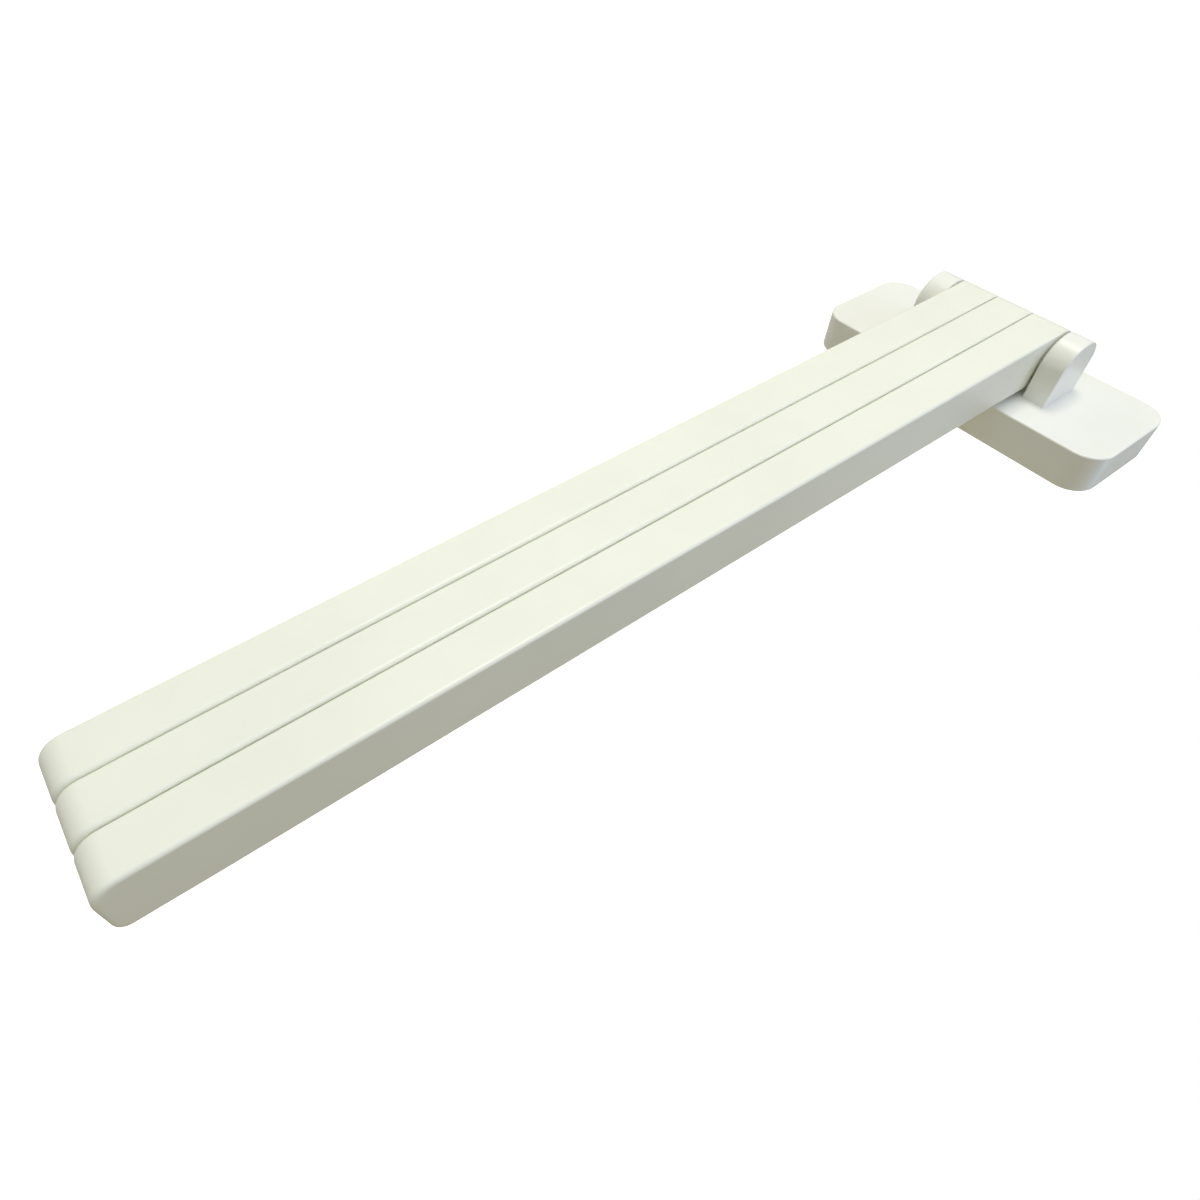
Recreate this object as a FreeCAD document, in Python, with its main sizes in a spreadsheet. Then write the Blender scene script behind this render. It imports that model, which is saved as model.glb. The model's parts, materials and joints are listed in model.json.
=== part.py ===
"""Three-arm swivel towel rail, as a parametric FreeCAD document.

The origin is the middle of the wall face. +Z is up along the pivot, the front faces -Y and the
folded arms point along +X. All sizes are in millimetres. Threads are plain cylinders.
"""
import FreeCAD, Part
import Sketcher
import math
import os

PARTS_FOLDER = "parts"
ARM_LEVELS = {"upper": 1, "middle": 0, "lower": -1}
SIDES = {"left": -1, "right": 1}
ENDS = {"top": 1, "bottom": -1}
TOUCH = 1e-3
ALONG_Y = FreeCAD.Vector(0, 1, 0)
ALONG_Z = FreeCAD.Vector(0, 0, 1)
TURNED = FreeCAD.Rotation(ALONG_Z, 90)

DIMENSIONS = {
    # wall housing
    "plate_width": 56.0,
    "plate_length": 145.5,
    "plate_depth": 17.7,
    "plate_corner": 11.7,
    "plate_edge": 0.8,
    "plate_wall": 2.5,
    "ear_thickness": 10.2,
    "ear_edge": 0.6,
    "ear_root": 0.8,
    "ear_gap": 1.1,
    "brace_length": 30.0,
    "brace_depth": 7.0,
    "brace_offset": 7.0,
    "brace_thickness": 2.0,
    # arms and their back covers
    "arm_height": 16.8,
    "arm_gap": 0.4,
    "arm_depth": 23.8,
    "arm_reach": 409.5,
    "arm_wall": 2.0,
    "arm_edge": 1.4,
    "tip_front": 8.6,
    "tip_back": 4.2,
    "hub_length": 15.0,
    "rib_thickness": 1.6,
    "rib_count": 7.0,
    "cover_thickness": 2.0,
    "cover_fit": 0.15,
    "cover_edge": 0.3,
    "pry_radius": 1.6,
    "leg_length": 10.0,
    "leg_depth": 7.0,
    "leg_thickness": 1.2,
    "snap_width": 1.2,
    "snap_reach": 0.35,
    "snap_groove": 0.5,
    # pivot
    "pivot_offset": 32.8,
    "bolt_radius": 4.0,
    "bolt_engagement": 7.3,
    "bolt_chamfer": 0.6,
    "head_radius": 6.5,
    "head_height": 3.6,
    "head_socket": 2.5,
    "socket_depth": 2.0,
    "washer_thickness": 1.0,
    "washer_radius": 7.8,
    "counterbore_radius": 8.2,
    "counterbore_depth": 6.4,
    "shank_clearance": 0.1,
    "cap_thickness": 1.5,
    "cap_skirt": 1.8,
    "cap_fit": 0.1,
    "insert_radius": 6.0,
    "insert_length": 7.5,
    "insert_chamfer": 0.4,
    "bush_radius": 6.0,
    "bush_clearance": 0.05,
    "shim_radius": 9.5,
    "shim_play": 0.05,
    # wall bracket, its hooks and its lock
    "bracket_web": 28.0,
    "bracket_length": 110.0,
    "bracket_sheet": 2.0,
    "bracket_corner": 4.0,
    "bracket_step": 4.0,
    "screw_spacing": 80.0,
    "screw_hole": 2.5,
    "tab_reach": 7.0,
    "tab_length": 12.0,
    "tab_height": 24.0,
    "lip_width": 16.0,
    "lip_depth": 14.0,
    "hook_reach": 9.5,
    "hook_thickness": 2.4,
    "hook_offset": 1.2,
    "lock_offset": 10.5,
    "lock_radius": 2.0,
    "lock_recess": 2.0,
    "lock_socket": 1.0,
    "lock_access": 2.4,
    "lock_insert_radius": 3.2,
    "lock_insert_length": 8.0,
    "lock_boss_radius": 5.2,
    "lock_boss_length": 9.5,
}

DERIVED = {
    "arm_pitch": "=arm_height + arm_gap",
    "arm_half": "=arm_height / 2",
    "ear_radius": "=arm_depth / 2",
    "ear_inner": "=1.5 * arm_height + arm_gap + ear_gap",
    "ear_outer": "=ear_inner + ear_thickness",
    "seat_height": "=ear_outer - counterbore_depth",
    "head_seat": "=seat_height + washer_thickness",
    "plate_inside": "=plate_depth - plate_wall",
    "plate_floor": "=plate_length / 2 - plate_wall",
    "cavity_end": "=arm_reach - tip_back - arm_wall",
    "cavity_length": "=cavity_end - hub_length",
    "cavity_middle": "=(cavity_end + hub_length) / 2",
    "cavity_half": "=arm_height / 2 - arm_wall",
    "rib_pitch": "=cavity_length / (rib_count + 1)",
    "cover_inside": "=ear_radius - cover_thickness",
    "leg_end": "=cover_inside - leg_depth",
    "web_half": "=bracket_web / 2",
}


def make_sheet(doc):
    """Keep every driving size in a spreadsheet cell that carries its name."""
    sheet = doc.addObject("Spreadsheet::Sheet", "dims")
    cells = {name: str(value) for name, value in DIMENSIONS.items()} | DERIVED
    for row, (name, content) in enumerate(cells.items(), start=1):
        sheet.set(f"A{row}", name)
        sheet.set(f"B{row}", content)
        sheet.setAlias(f"B{row}", name)
    doc.recompute()


# ---------------------------------------------------------------- helpers for bodies


def new_body(doc, label):
    body = doc.addObject("PartDesign::Body", label)
    body.Label = label
    return body


def move_to(target, x=None, y=None, z=None):
    """Bind an object's position to the sheet, axis by axis."""
    for axis, expression in (("x", x), ("y", y), ("z", z)):
        if expression:
            target.setExpression(f"Placement.Base.{axis}", expression)


def new_sketch(body, role, name, across=None, up=None, depth=None, turned=False):
    """An empty sketch on an origin plane, moved in the plane and along its normal.

    XY_Plane has axes X and Y and faces +Z. XZ_Plane has axes X and Z and faces -Y.
    """
    plane = next(item for item in body.Origin.OriginFeatures if item.Role == role)
    sketch = body.newObject("Sketcher::SketchObject", name)
    sketch.AttachmentSupport = [(plane, "")]
    sketch.MapMode = "FlatFace"
    if turned:
        sketch.AttachmentOffset = FreeCAD.Placement(FreeCAD.Vector(), TURNED)
    for axis, expression in (("x", across), ("y", up), ("z", depth)):
        if expression:
            sketch.setExpression(f"AttachmentOffset.Base.{axis}", expression)
    return sketch


def constrain(sketch, kind, *places, name=None, size=None):
    """Add a constraint. One with a size is named and bound to the sheet."""
    if size is None:
        sketch.addConstraint(Sketcher.Constraint(kind, *places))
        return
    start = sketch.evalExpression(size)
    index = sketch.addConstraint(Sketcher.Constraint(kind, *places, float(start)))
    sketch.renameConstraint(index, name)
    sketch.setExpression(f"Constraints.{name}", size)


def draw_rectangle(sketch, width, height):
    """A rectangle centred on the sketch's origin."""
    half_w = sketch.evalExpression(width) / 2
    half_h = sketch.evalExpression(height) / 2
    signs = ((-1, -1), (1, -1), (1, 1), (-1, 1))
    corners = [FreeCAD.Vector(half_w * a, half_h * b, 0) for a, b in signs]
    lines = [Part.LineSegment(corners[i], corners[(i + 1) % 4]) for i in range(4)]
    first = sketch.addGeometry(lines, False)[0]
    for i in range(4):
        constrain(sketch, "Coincident", first + i, 2, first + (i + 1) % 4, 1)
        constrain(sketch, ("Horizontal", "Vertical")[i % 2], first + i)
    constrain(sketch, "Symmetric", first, 1, first + 2, 1, -1, 1)
    constrain(sketch, "DistanceX", first, 1, first, 2, name="width", size=width)
    constrain(sketch, "DistanceY", first + 1, 1, first + 1, 2, name="height", size=height)


def draw_rounded_rectangle(sketch, width, height, radius):
    """A rectangle with round corners, centred on the sketch's origin."""
    half_w = sketch.evalExpression(width) / 2
    half_h = sketch.evalExpression(height) / 2
    r = sketch.evalExpression(radius)
    sides = []
    corners = []
    for quarter in range(4):
        turn = FreeCAD.Rotation(ALONG_Z, 90 * quarter)
        along, out = (half_w, half_h) if quarter % 2 == 0 else (half_h, half_w)
        ends = [turn.multVec(FreeCAD.Vector(x, -out, 0)) for x in (r - along, along - r)]
        centre = turn.multVec(FreeCAD.Vector(along - r, r - out, 0))
        start = math.pi / 2 * (quarter - 1)
        sides.append(Part.LineSegment(*ends))
        corners.append(Part.ArcOfCircle(Part.Circle(centre, ALONG_Z, r), start, start + math.pi / 2))
    side = sketch.addGeometry(sides, False)
    corner = sketch.addGeometry(corners, False)
    for i in range(4):
        constrain(sketch, "Tangent", side[i], 2, corner[i], 1)
        constrain(sketch, "Tangent", corner[i], 2, side[(i + 1) % 4], 1)
        constrain(sketch, ("Horizontal", "Vertical")[i % 2], side[i])
        if i:
            constrain(sketch, "Equal", corner[0], corner[i])
    constrain(sketch, "Symmetric", corner[0], 3, corner[2], 3, -1, 1)
    constrain(sketch, "Radius", corner[0], name="radius", size=radius)
    constrain(sketch, "DistanceX", side[3], 1, side[1], 1, name="width", size=width)
    constrain(sketch, "DistanceY", side[0], 1, side[2], 1, name="height", size=height)


def draw_circle(sketch, radius):
    """A circle centred on the sketch's origin."""
    circle = Part.Circle(FreeCAD.Vector(), ALONG_Z, sketch.evalExpression(radius))
    index = sketch.addGeometry(circle, False)
    constrain(sketch, "Coincident", index, 3, -1, 1)
    constrain(sketch, "Radius", index, name="radius", size=radius)


def draw_tongue(sketch, radius, reach):
    """A bar whose near end is a half circle about the sketch's origin and whose far end is square."""
    r = sketch.evalExpression(radius)
    far = sketch.evalExpression(reach)
    corners = [FreeCAD.Vector(x, y, 0) for x, y in ((0, -r), (far, -r), (far, r), (0, r))]
    circle = Part.Circle(FreeCAD.Vector(), ALONG_Z, r)
    shapes = [Part.LineSegment(corners[i], corners[i + 1]) for i in range(3)]
    shapes.append(Part.ArcOfCircle(circle, math.pi / 2, 3 * math.pi / 2))
    front, end, back, arc = sketch.addGeometry(shapes, False)
    constrain(sketch, "Coincident", arc, 3, -1, 1)
    constrain(sketch, "Tangent", back, 2, arc, 1)
    constrain(sketch, "Tangent", arc, 2, front, 1)
    constrain(sketch, "Coincident", front, 2, end, 1)
    constrain(sketch, "Coincident", end, 2, back, 1)
    constrain(sketch, "Horizontal", front)
    constrain(sketch, "Vertical", end)
    constrain(sketch, "Radius", arc, name="radius", size=radius)
    constrain(sketch, "DistanceX", -1, 1, end, 1, name="reach", size=reach)


def draw_hexagon(sketch, radius):
    """A regular hexagon about the sketch's origin, sized by its corner radius."""
    r = sketch.evalExpression(radius)
    turns = [math.radians(60 * i) for i in range(6)]
    corners = [FreeCAD.Vector(r * math.cos(a), r * math.sin(a), 0) for a in turns]
    lines = [Part.LineSegment(corners[i], corners[(i + 1) % 6]) for i in range(6)]
    guide = Part.Circle(FreeCAD.Vector(), ALONG_Z, r)
    ring = sketch.addGeometry(guide, True)
    first = sketch.addGeometry(lines, False)[0]
    constrain(sketch, "Coincident", ring, 3, -1, 1)
    for i in range(6):
        constrain(sketch, "Coincident", first + i, 2, first + (i + 1) % 6, 1)
        constrain(sketch, "PointOnObject", first + i, 1, ring)
        if i:
            constrain(sketch, "Equal", first, first + i)
    constrain(sketch, "PointOnObject", first, 1, -1)
    constrain(sketch, "Radius", ring, name="radius", size=radius)


def add_pad(body, sketch, length, against=False, both=False):
    """Pad a sketch along its normal, against it, or evenly both ways."""
    pad = body.newObject("PartDesign::Pad", f"{sketch.Name}_pad")
    pad.Profile = sketch
    pad.Reversed = against
    pad.SideType = "Symmetric" if both else "One side"
    pad.setExpression("Length", length)
    sketch.Visibility = False
    body.Document.recompute()
    return pad


def add_pocket(body, sketch, length, along=False, both=False):
    """Cut a sketch against its normal, along it, or evenly both ways, and make sure that it cut."""
    before = body.Tip.Shape.Volume
    pocket = body.newObject("PartDesign::Pocket", f"{sketch.Name}_pocket")
    pocket.Profile = sketch
    pocket.Reversed = along
    pocket.SideType = "Symmetric" if both else "One side"
    pocket.setExpression("Length", length)
    sketch.Visibility = False
    body.Document.recompute()
    if pocket.Shape.Volume > before - TOUCH:
        raise ValueError(f"{pocket.Name} cuts nothing")
    return pocket


def add_pattern(body, originals, sketch, length, count):
    """Repeat features along the horizontal axis of a sketch."""
    pattern = body.newObject("PartDesign::LinearPattern", f"{sketch.Name}_row")
    pattern.Originals = originals
    pattern.Direction = (sketch, ["H_Axis"])
    pattern.Mode = "Extent"
    pattern.setExpression("Length", length)
    pattern.setExpression("Occurrences", count)
    body.Tip = pattern
    body.Document.recompute()
    return pattern


def in_plane(edge, axis, height):
    """True when an edge lies in the plane that crosses an axis at this height."""
    box = edge.BoundBox
    low = getattr(box, f"{axis}Min")
    high = getattr(box, f"{axis}Max")
    return abs(low - height) < TOUCH and abs(high - height) < TOUCH


def runs_along(edge, direction):
    """True for a straight edge that is parallel to a direction."""
    if not isinstance(edge.Curve, (Part.Line, Part.LineSegment)):
        return False
    return edge.tangentAt(edge.FirstParameter).cross(direction).Length < TOUCH


def round_edges(body, name, radius, wanted, kind="Fillet"):
    """Fillet or chamfer the edges of the body's tip that pass a test."""
    tip = body.Tip
    edges = [f"Edge{n}" for n, edge in enumerate(tip.Shape.Edges, start=1) if wanted(edge)]
    if not edges:
        raise ValueError(f"{name} found no edges")
    feature = body.newObject(f"PartDesign::{kind}", name)
    feature.Base = (tip, edges)
    feature.setExpression("Radius" if kind == "Fillet" else "Size", radius)
    body.Document.recompute()
    return feature


def value(doc, name):
    return float(getattr(doc.dims, name))


# ---------------------------------------------------------------- wall housing


def pad_plate(body):
    """The thick wall plate, with round corners and a softened front rim."""
    front = -value(body.Document, "plate_depth")
    sketch = new_sketch(body, "XZ_Plane", "plate")
    draw_rounded_rectangle(sketch, "dims.plate_width", "dims.plate_length", "dims.plate_corner")
    add_pad(body, sketch, "dims.plate_depth")
    round_edges(body, "plate_rim", "dims.plate_edge", lambda edge: in_plane(edge, "Y", front))


def pad_ears(body):
    """Two round-topped ears that hold the ends of the pivot."""
    doc = body.Document
    front = -value(doc, "plate_depth")
    faces = [end * value(doc, name) for end in (1, -1) for name in ("ear_inner", "ear_outer")]
    room = value(doc, "ear_radius") + value(doc, "ear_root")
    for end, start in (("top", "dims.ear_inner"), ("bottom", "-dims.ear_outer")):
        sketch = new_sketch(
            body, "XY_Plane", f"{end}_ear", up="-dims.pivot_offset", depth=start, turned=True
        )
        draw_tongue(sketch, "dims.ear_radius", "dims.pivot_offset - dims.plate_inside")
        add_pad(body, sketch, "dims.ear_thickness")

    def on_ear_outline(edge):
        return any(in_plane(edge, "Z", face) for face in faces) and not in_plane(edge, "Y", front)

    def at_ear_root(edge):
        return in_plane(edge, "Y", front) and -room < edge.BoundBox.XMin and edge.BoundBox.XMax < room

    round_edges(body, "ear_edges", "dims.ear_edge", on_ear_outline)
    round_edges(body, "ear_roots", "dims.ear_root", at_ear_root)


def hollow_plate(body):
    """The space behind the plate's front, open to the wall."""
    sketch = new_sketch(body, "XZ_Plane", "hollow")
    width = "dims.plate_width - 2 * dims.plate_wall"
    corner = "dims.plate_corner - dims.plate_wall"
    draw_rounded_rectangle(sketch, width, "2 * dims.plate_floor", corner)
    add_pocket(body, sketch, "dims.plate_inside", along=True)


def pad_braces(body):
    """Ribs inside the plate that carry the load of each ear."""
    for end, up in ENDS.items():
        for side, across in SIDES.items():
            sketch = new_sketch(
                body,
                "XZ_Plane",
                f"{end}_{side}_brace",
                across=f"{across} * dims.brace_offset",
                up=f"{up} * (dims.ear_inner + dims.ear_thickness / 2)",
                depth="dims.plate_inside",
            )
            draw_rectangle(sketch, "dims.brace_thickness", "dims.brace_length")
            add_pad(body, sketch, "dims.brace_depth", against=True)


def pad_hooks(body):
    """Four lugs on the side walls, which slide behind the bracket's tabs."""
    for end, up in ENDS.items():
        for side, across in SIDES.items():
            sketch = new_sketch(
                body,
                "XZ_Plane",
                f"{end}_{side}_hook",
                across=f"{across} * (dims.plate_width / 2 - dims.plate_wall - dims.hook_reach / 2)",
                up=f"{up} * dims.tab_height",
                depth="dims.hook_offset",
            )
            draw_rectangle(sketch, "dims.hook_reach", "dims.tab_length")
            add_pad(body, sketch, "dims.hook_thickness")


def add_lock_boss(body):
    """A boss on the lower wall, bored for the lock screw and its brass insert."""
    bottom = "-dims.plate_length / 2"
    floor = "-dims.plate_floor"
    mouth = "-dims.plate_floor + dims.lock_boss_length"
    boss = new_sketch(body, "XY_Plane", "lock_boss", up="-dims.lock_offset", depth=floor)
    draw_circle(boss, "dims.lock_boss_radius")
    add_pad(body, boss, "dims.lock_boss_length")
    seat = new_sketch(body, "XY_Plane", "lock_seat", up="-dims.lock_offset", depth=mouth)
    draw_circle(seat, "dims.lock_insert_radius")
    add_pocket(body, seat, "dims.lock_insert_length")
    access = new_sketch(body, "XY_Plane", "lock_access", up="-dims.lock_offset", depth=bottom)
    draw_circle(access, "dims.lock_access")
    add_pocket(body, access, "dims.plate_wall + dims.lock_boss_length", along=True)


def bore_ears(body):
    """A blind seat in the top ear, and a stepped hole through the bottom ear."""
    seat = new_sketch(body, "XY_Plane", "insert_seat", up="-dims.pivot_offset", depth="dims.ear_inner")
    draw_circle(seat, "dims.insert_radius")
    add_pocket(body, seat, "dims.insert_length", along=True)
    counterbore = new_sketch(
        body, "XY_Plane", "counterbore", up="-dims.pivot_offset", depth="-dims.seat_height"
    )
    draw_circle(counterbore, "dims.counterbore_radius")
    add_pocket(body, counterbore, "dims.counterbore_depth")
    shank = new_sketch(body, "XY_Plane", "shank_hole", up="-dims.pivot_offset", depth="-dims.ear_inner")
    draw_circle(shank, "dims.bolt_radius + dims.shank_clearance")
    add_pocket(body, shank, "dims.ear_thickness")


def make_wall_housing(doc):
    body = new_body(doc, "wall_housing")
    pad_plate(body)
    pad_ears(body)
    hollow_plate(body)
    pad_braces(body)
    pad_hooks(body)
    add_lock_boss(body)
    bore_ears(body)
    return body


# ---------------------------------------------------------------- wall bracket and its lock


def pad_tab(body, name, across, up):
    """One tab: a riser off the plate's edge, and a flange that stands clear of the wall."""
    riser = new_sketch(
        body,
        "XZ_Plane",
        f"{name}_riser",
        across=f"{across} * (dims.web_half - dims.bracket_sheet / 2)",
        up=f"{up} * dims.tab_height",
    )
    draw_rectangle(riser, "dims.bracket_sheet", "dims.tab_length")
    add_pad(body, riser, "dims.bracket_step + dims.bracket_sheet")
    flange = new_sketch(
        body,
        "XZ_Plane",
        f"{name}_flange",
        across=f"{across} * (dims.web_half + dims.tab_reach / 2)",
        up=f"{up} * dims.tab_height",
        depth="dims.bracket_step",
    )
    draw_rectangle(flange, "dims.tab_reach", "dims.tab_length")
    add_pad(body, flange, "dims.bracket_sheet")


def make_wall_bracket(doc):
    """Pressed steel plate with four tabs, a lower lip for the lock screw and two screw holes."""
    body = new_body(doc, "wall_bracket")
    web = new_sketch(body, "XZ_Plane", "web")
    draw_rectangle(web, "dims.bracket_web", "dims.bracket_length")
    add_pad(body, web, "dims.bracket_sheet")
    round_edges(body, "web_corners", "dims.bracket_corner", lambda edge: runs_along(edge, ALONG_Y))
    for end, up in ENDS.items():
        for side, across in SIDES.items():
            pad_tab(body, f"{end}_{side}_tab", across, up)
    lip = new_sketch(body, "XY_Plane", "lip", up="-dims.lip_depth / 2", depth="-dims.bracket_length / 2")
    draw_rectangle(lip, "dims.lip_width", "dims.lip_depth")
    add_pad(body, lip, "dims.bracket_sheet")
    for end, up in ENDS.items():
        hole = new_sketch(body, "XZ_Plane", f"{end}_screw_hole", up=f"{up} * dims.screw_spacing / 2")
        draw_circle(hole, "dims.screw_hole")
        add_pocket(body, hole, "dims.bracket_sheet", along=True)
    return body


def make_lock_screw(doc):
    """Grub screw that stands in the lower wall and bears on the bracket's lip."""
    body = new_body(doc, "lock_screw")
    start = "-dims.plate_length / 2 + dims.lock_recess"
    length = "dims.plate_length / 2 - dims.lock_recess - dims.bracket_length / 2"
    shank = new_sketch(body, "XY_Plane", "grub_shank", depth=start)
    draw_circle(shank, "dims.lock_radius")
    add_pad(body, shank, length)
    round_edges(body, "grub_ends", "dims.cover_edge", lambda edge: edge.Closed, kind="Chamfer")
    socket = new_sketch(body, "XY_Plane", "grub_socket", depth=start)
    draw_hexagon(socket, "dims.lock_socket")
    add_pocket(body, socket, "dims.socket_depth", along=True)
    move_to(body, y="-dims.lock_offset")
    return body


# ---------------------------------------------------------------- pivot


def make_pivot_bolt(doc):
    """Shouldered bolt through both ears, with a low head in the bottom one."""
    body = new_body(doc, "pivot_bolt")
    length = "dims.head_seat + dims.ear_inner + dims.bolt_engagement"
    tip = value(doc, "ear_inner") + value(doc, "bolt_engagement")
    head_end = "-dims.head_seat - dims.head_height"
    shank = new_sketch(body, "XY_Plane", "bolt_shank", depth="-dims.head_seat")
    draw_circle(shank, "dims.bolt_radius")
    add_pad(body, shank, length)
    round_edges(
        body, "bolt_point", "dims.bolt_chamfer", lambda edge: in_plane(edge, "Z", tip), kind="Chamfer"
    )
    head = new_sketch(body, "XY_Plane", "bolt_head", depth=head_end)
    draw_circle(head, "dims.head_radius")
    add_pad(body, head, "dims.head_height")
    socket = new_sketch(body, "XY_Plane", "bolt_socket", depth=head_end)
    draw_hexagon(socket, "dims.head_socket")
    add_pocket(body, socket, "dims.socket_depth", along=True)
    move_to(body, y="-dims.pivot_offset")
    return body


def make_pivot_cap(doc):
    """Flush plug over the bolt's head, with a skirt that grips it."""
    body = new_body(doc, "pivot_cap")
    disc = new_sketch(body, "XY_Plane", "cap_disc", depth="-dims.ear_outer")
    draw_circle(disc, "dims.counterbore_radius - dims.cap_fit")
    add_pad(body, disc, "dims.cap_thickness + dims.cap_skirt")
    inside = new_sketch(body, "XY_Plane", "cap_inside", depth="-dims.ear_outer + dims.cap_thickness")
    draw_circle(inside, "dims.head_radius + dims.cap_fit")
    add_pocket(body, inside, "dims.cap_skirt", along=True)
    face = -value(doc, "ear_outer")
    round_edges(body, "cap_edge", "dims.cover_edge", lambda edge: in_plane(edge, "Z", face))
    move_to(body, y="-dims.pivot_offset")
    return body


def make_ring(doc, label, outer, bore, thickness, offset, height, edge=None):
    """A round ring about an axis along Z, with its outer edges broken if an edge size is given."""
    body = new_body(doc, label)
    disc = new_sketch(body, "XY_Plane", f"{label}_disc")
    draw_circle(disc, outer)
    add_pad(body, disc, thickness)
    if edge:
        round_edges(body, f"{label}_edges", edge, lambda rim: rim.Closed, kind="Chamfer")
    hole = new_sketch(body, "XY_Plane", f"{label}_bore")
    draw_circle(hole, bore)
    add_pocket(body, hole, thickness, along=True)
    move_to(body, y=f"-{offset}", z=height)
    return body


def make_inserts(doc):
    """The two brass inserts and the washer under the bolt's head."""
    pivot = "dims.pivot_offset"
    edge = "dims.insert_chamfer"
    lock_end = "-dims.plate_floor + dims.lock_boss_length - dims.lock_insert_length"
    lock = ("dims.lock_insert_radius", "dims.lock_radius", "dims.lock_insert_length", "dims.lock_offset")
    bolt = ("dims.insert_radius", "dims.bolt_radius", "dims.insert_length", pivot)
    shank_hole = "dims.bolt_radius + dims.shank_clearance"
    washer = ("dims.washer_radius", shank_hole, "dims.washer_thickness", pivot)
    return [
        make_ring(doc, "lock_insert", *lock, lock_end, edge),
        make_ring(doc, "bolt_insert", *bolt, "dims.ear_inner", edge),
        make_ring(doc, "head_washer", *washer, "-dims.head_seat"),
    ]


def make_spacers(doc):
    """Thrust washers: one inside each ear and one between each two arms."""
    bore = "dims.bolt_radius + dims.shank_clearance"
    thick = "dims.ear_gap - 2 * dims.shim_play"
    thin = "dims.arm_gap - 2 * dims.shim_play"
    seam = "dims.arm_half + dims.shim_play"
    heights = {
        "ear_washer_top": (thick, "dims.ear_inner - dims.ear_gap + dims.shim_play"),
        "arm_washer_upper": (thin, seam),
        "arm_washer_lower": (thin, f"-({seam}) - ({thin})"),
        "ear_washer_bottom": (thick, "-dims.ear_inner + dims.shim_play"),
    }
    return [
        make_ring(doc, label, "dims.shim_radius", bore, thickness, "dims.pivot_offset", height)
        for label, (thickness, height) in heights.items()
    ]


# ---------------------------------------------------------------- arms


def arm_place(body, level):
    """Put an arm's piece at its level on the pivot."""
    move_to(body, y="-dims.pivot_offset", z=f"{level} * dims.arm_pitch")


def pad_arm(body):
    """The outside of an arm: a flat bar with a round pivot end and a rounded tip."""
    doc = body.Document
    half = value(doc, "arm_half")
    reach = value(doc, "arm_reach")
    sketch = new_sketch(body, "XY_Plane", "arm")
    draw_tongue(sketch, "dims.ear_radius", "dims.arm_reach")
    add_pad(body, sketch, "dims.arm_height", both=True)

    def tip_corner(edge, side):
        box = edge.BoundBox
        return runs_along(edge, ALONG_Z) and box.XMin > reach - TOUCH and side * box.YMin > 0

    def on_rim(edge):
        return in_plane(edge, "Z", half) or in_plane(edge, "Z", -half)

    round_edges(body, "tip_front", "dims.tip_front", lambda edge: tip_corner(edge, -1))
    round_edges(body, "tip_back", "dims.tip_back", lambda edge: tip_corner(edge, 1))
    round_edges(body, "arm_edges", "dims.arm_edge", on_rim)


def hollow_arm(body):
    """The channel that runs down the arm, open on the wall side, with a groove for the cover's snaps."""
    channel = new_sketch(
        body, "XZ_Plane", "channel", across="dims.cavity_middle", depth="-dims.ear_radius"
    )
    draw_rectangle(channel, "dims.cavity_length", "2 * dims.cavity_half")
    add_pocket(body, channel, "dims.arm_depth - dims.arm_wall", along=True)
    groove = new_sketch(
        body,
        "XZ_Plane",
        "snap_groove",
        across="dims.cavity_middle",
        depth="-dims.leg_end - dims.snap_width / 2",
    )
    groove_length = "dims.cavity_length - 2 * dims.arm_wall"
    draw_rectangle(groove, groove_length, "2 * (dims.cavity_half + dims.snap_groove)")
    add_pocket(body, groove, "dims.snap_width + 2 * dims.cover_fit", both=True)


def pad_ribs(body):
    """Cross ribs from wall to wall, on which the back cover rests."""
    sketch = new_sketch(
        body,
        "XZ_Plane",
        "rib",
        across="dims.hub_length + dims.rib_pitch",
        depth="dims.ear_radius - dims.arm_wall",
    )
    draw_rectangle(sketch, "dims.rib_thickness", "2 * dims.cavity_half")
    rib = add_pad(body, sketch, "dims.arm_depth - dims.arm_wall - dims.cover_thickness", against=True)
    add_pattern(body, [rib], sketch, "dims.rib_pitch * (dims.rib_count - 1)", "dims.rib_count")


def make_arm_shell(doc, name, level):
    body = new_body(doc, f"arm_shell_{name}")
    pad_arm(body)
    hollow_arm(body)
    pad_ribs(body)
    bore = new_sketch(body, "XY_Plane", "bush_bore")
    draw_circle(bore, "dims.bush_radius")
    add_pocket(body, bore, "dims.arm_height", both=True)
    arm_place(body, level)
    return body


def pad_legs(body):
    """Pairs of snap legs with an outward barb, one pair in each bay between the ribs."""
    features = []
    first = None
    start = "dims.hub_length + dims.rib_pitch / 2"
    for side in SIDES.values():
        leg = new_sketch(
            body,
            "XZ_Plane",
            "leg",
            across=start,
            up=f"{side} * (dims.cavity_half - dims.cover_fit - dims.leg_thickness / 2)",
            depth="-dims.cover_inside",
        )
        draw_rectangle(leg, "dims.leg_length", "dims.leg_thickness")
        features.append(add_pad(body, leg, "dims.leg_depth"))
        barb = new_sketch(
            body,
            "XZ_Plane",
            "barb",
            across=start,
            up=f"{side} * (dims.cavity_half - dims.cover_fit + dims.snap_reach / 2)",
            depth="-dims.leg_end - dims.snap_width",
        )
        draw_rectangle(barb, "dims.leg_length", "dims.snap_reach")
        features.append(add_pad(body, barb, "dims.snap_width"))
        first = first or leg
    add_pattern(body, features, first, "dims.rib_pitch * dims.rib_count", "dims.rib_count + 1")


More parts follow.
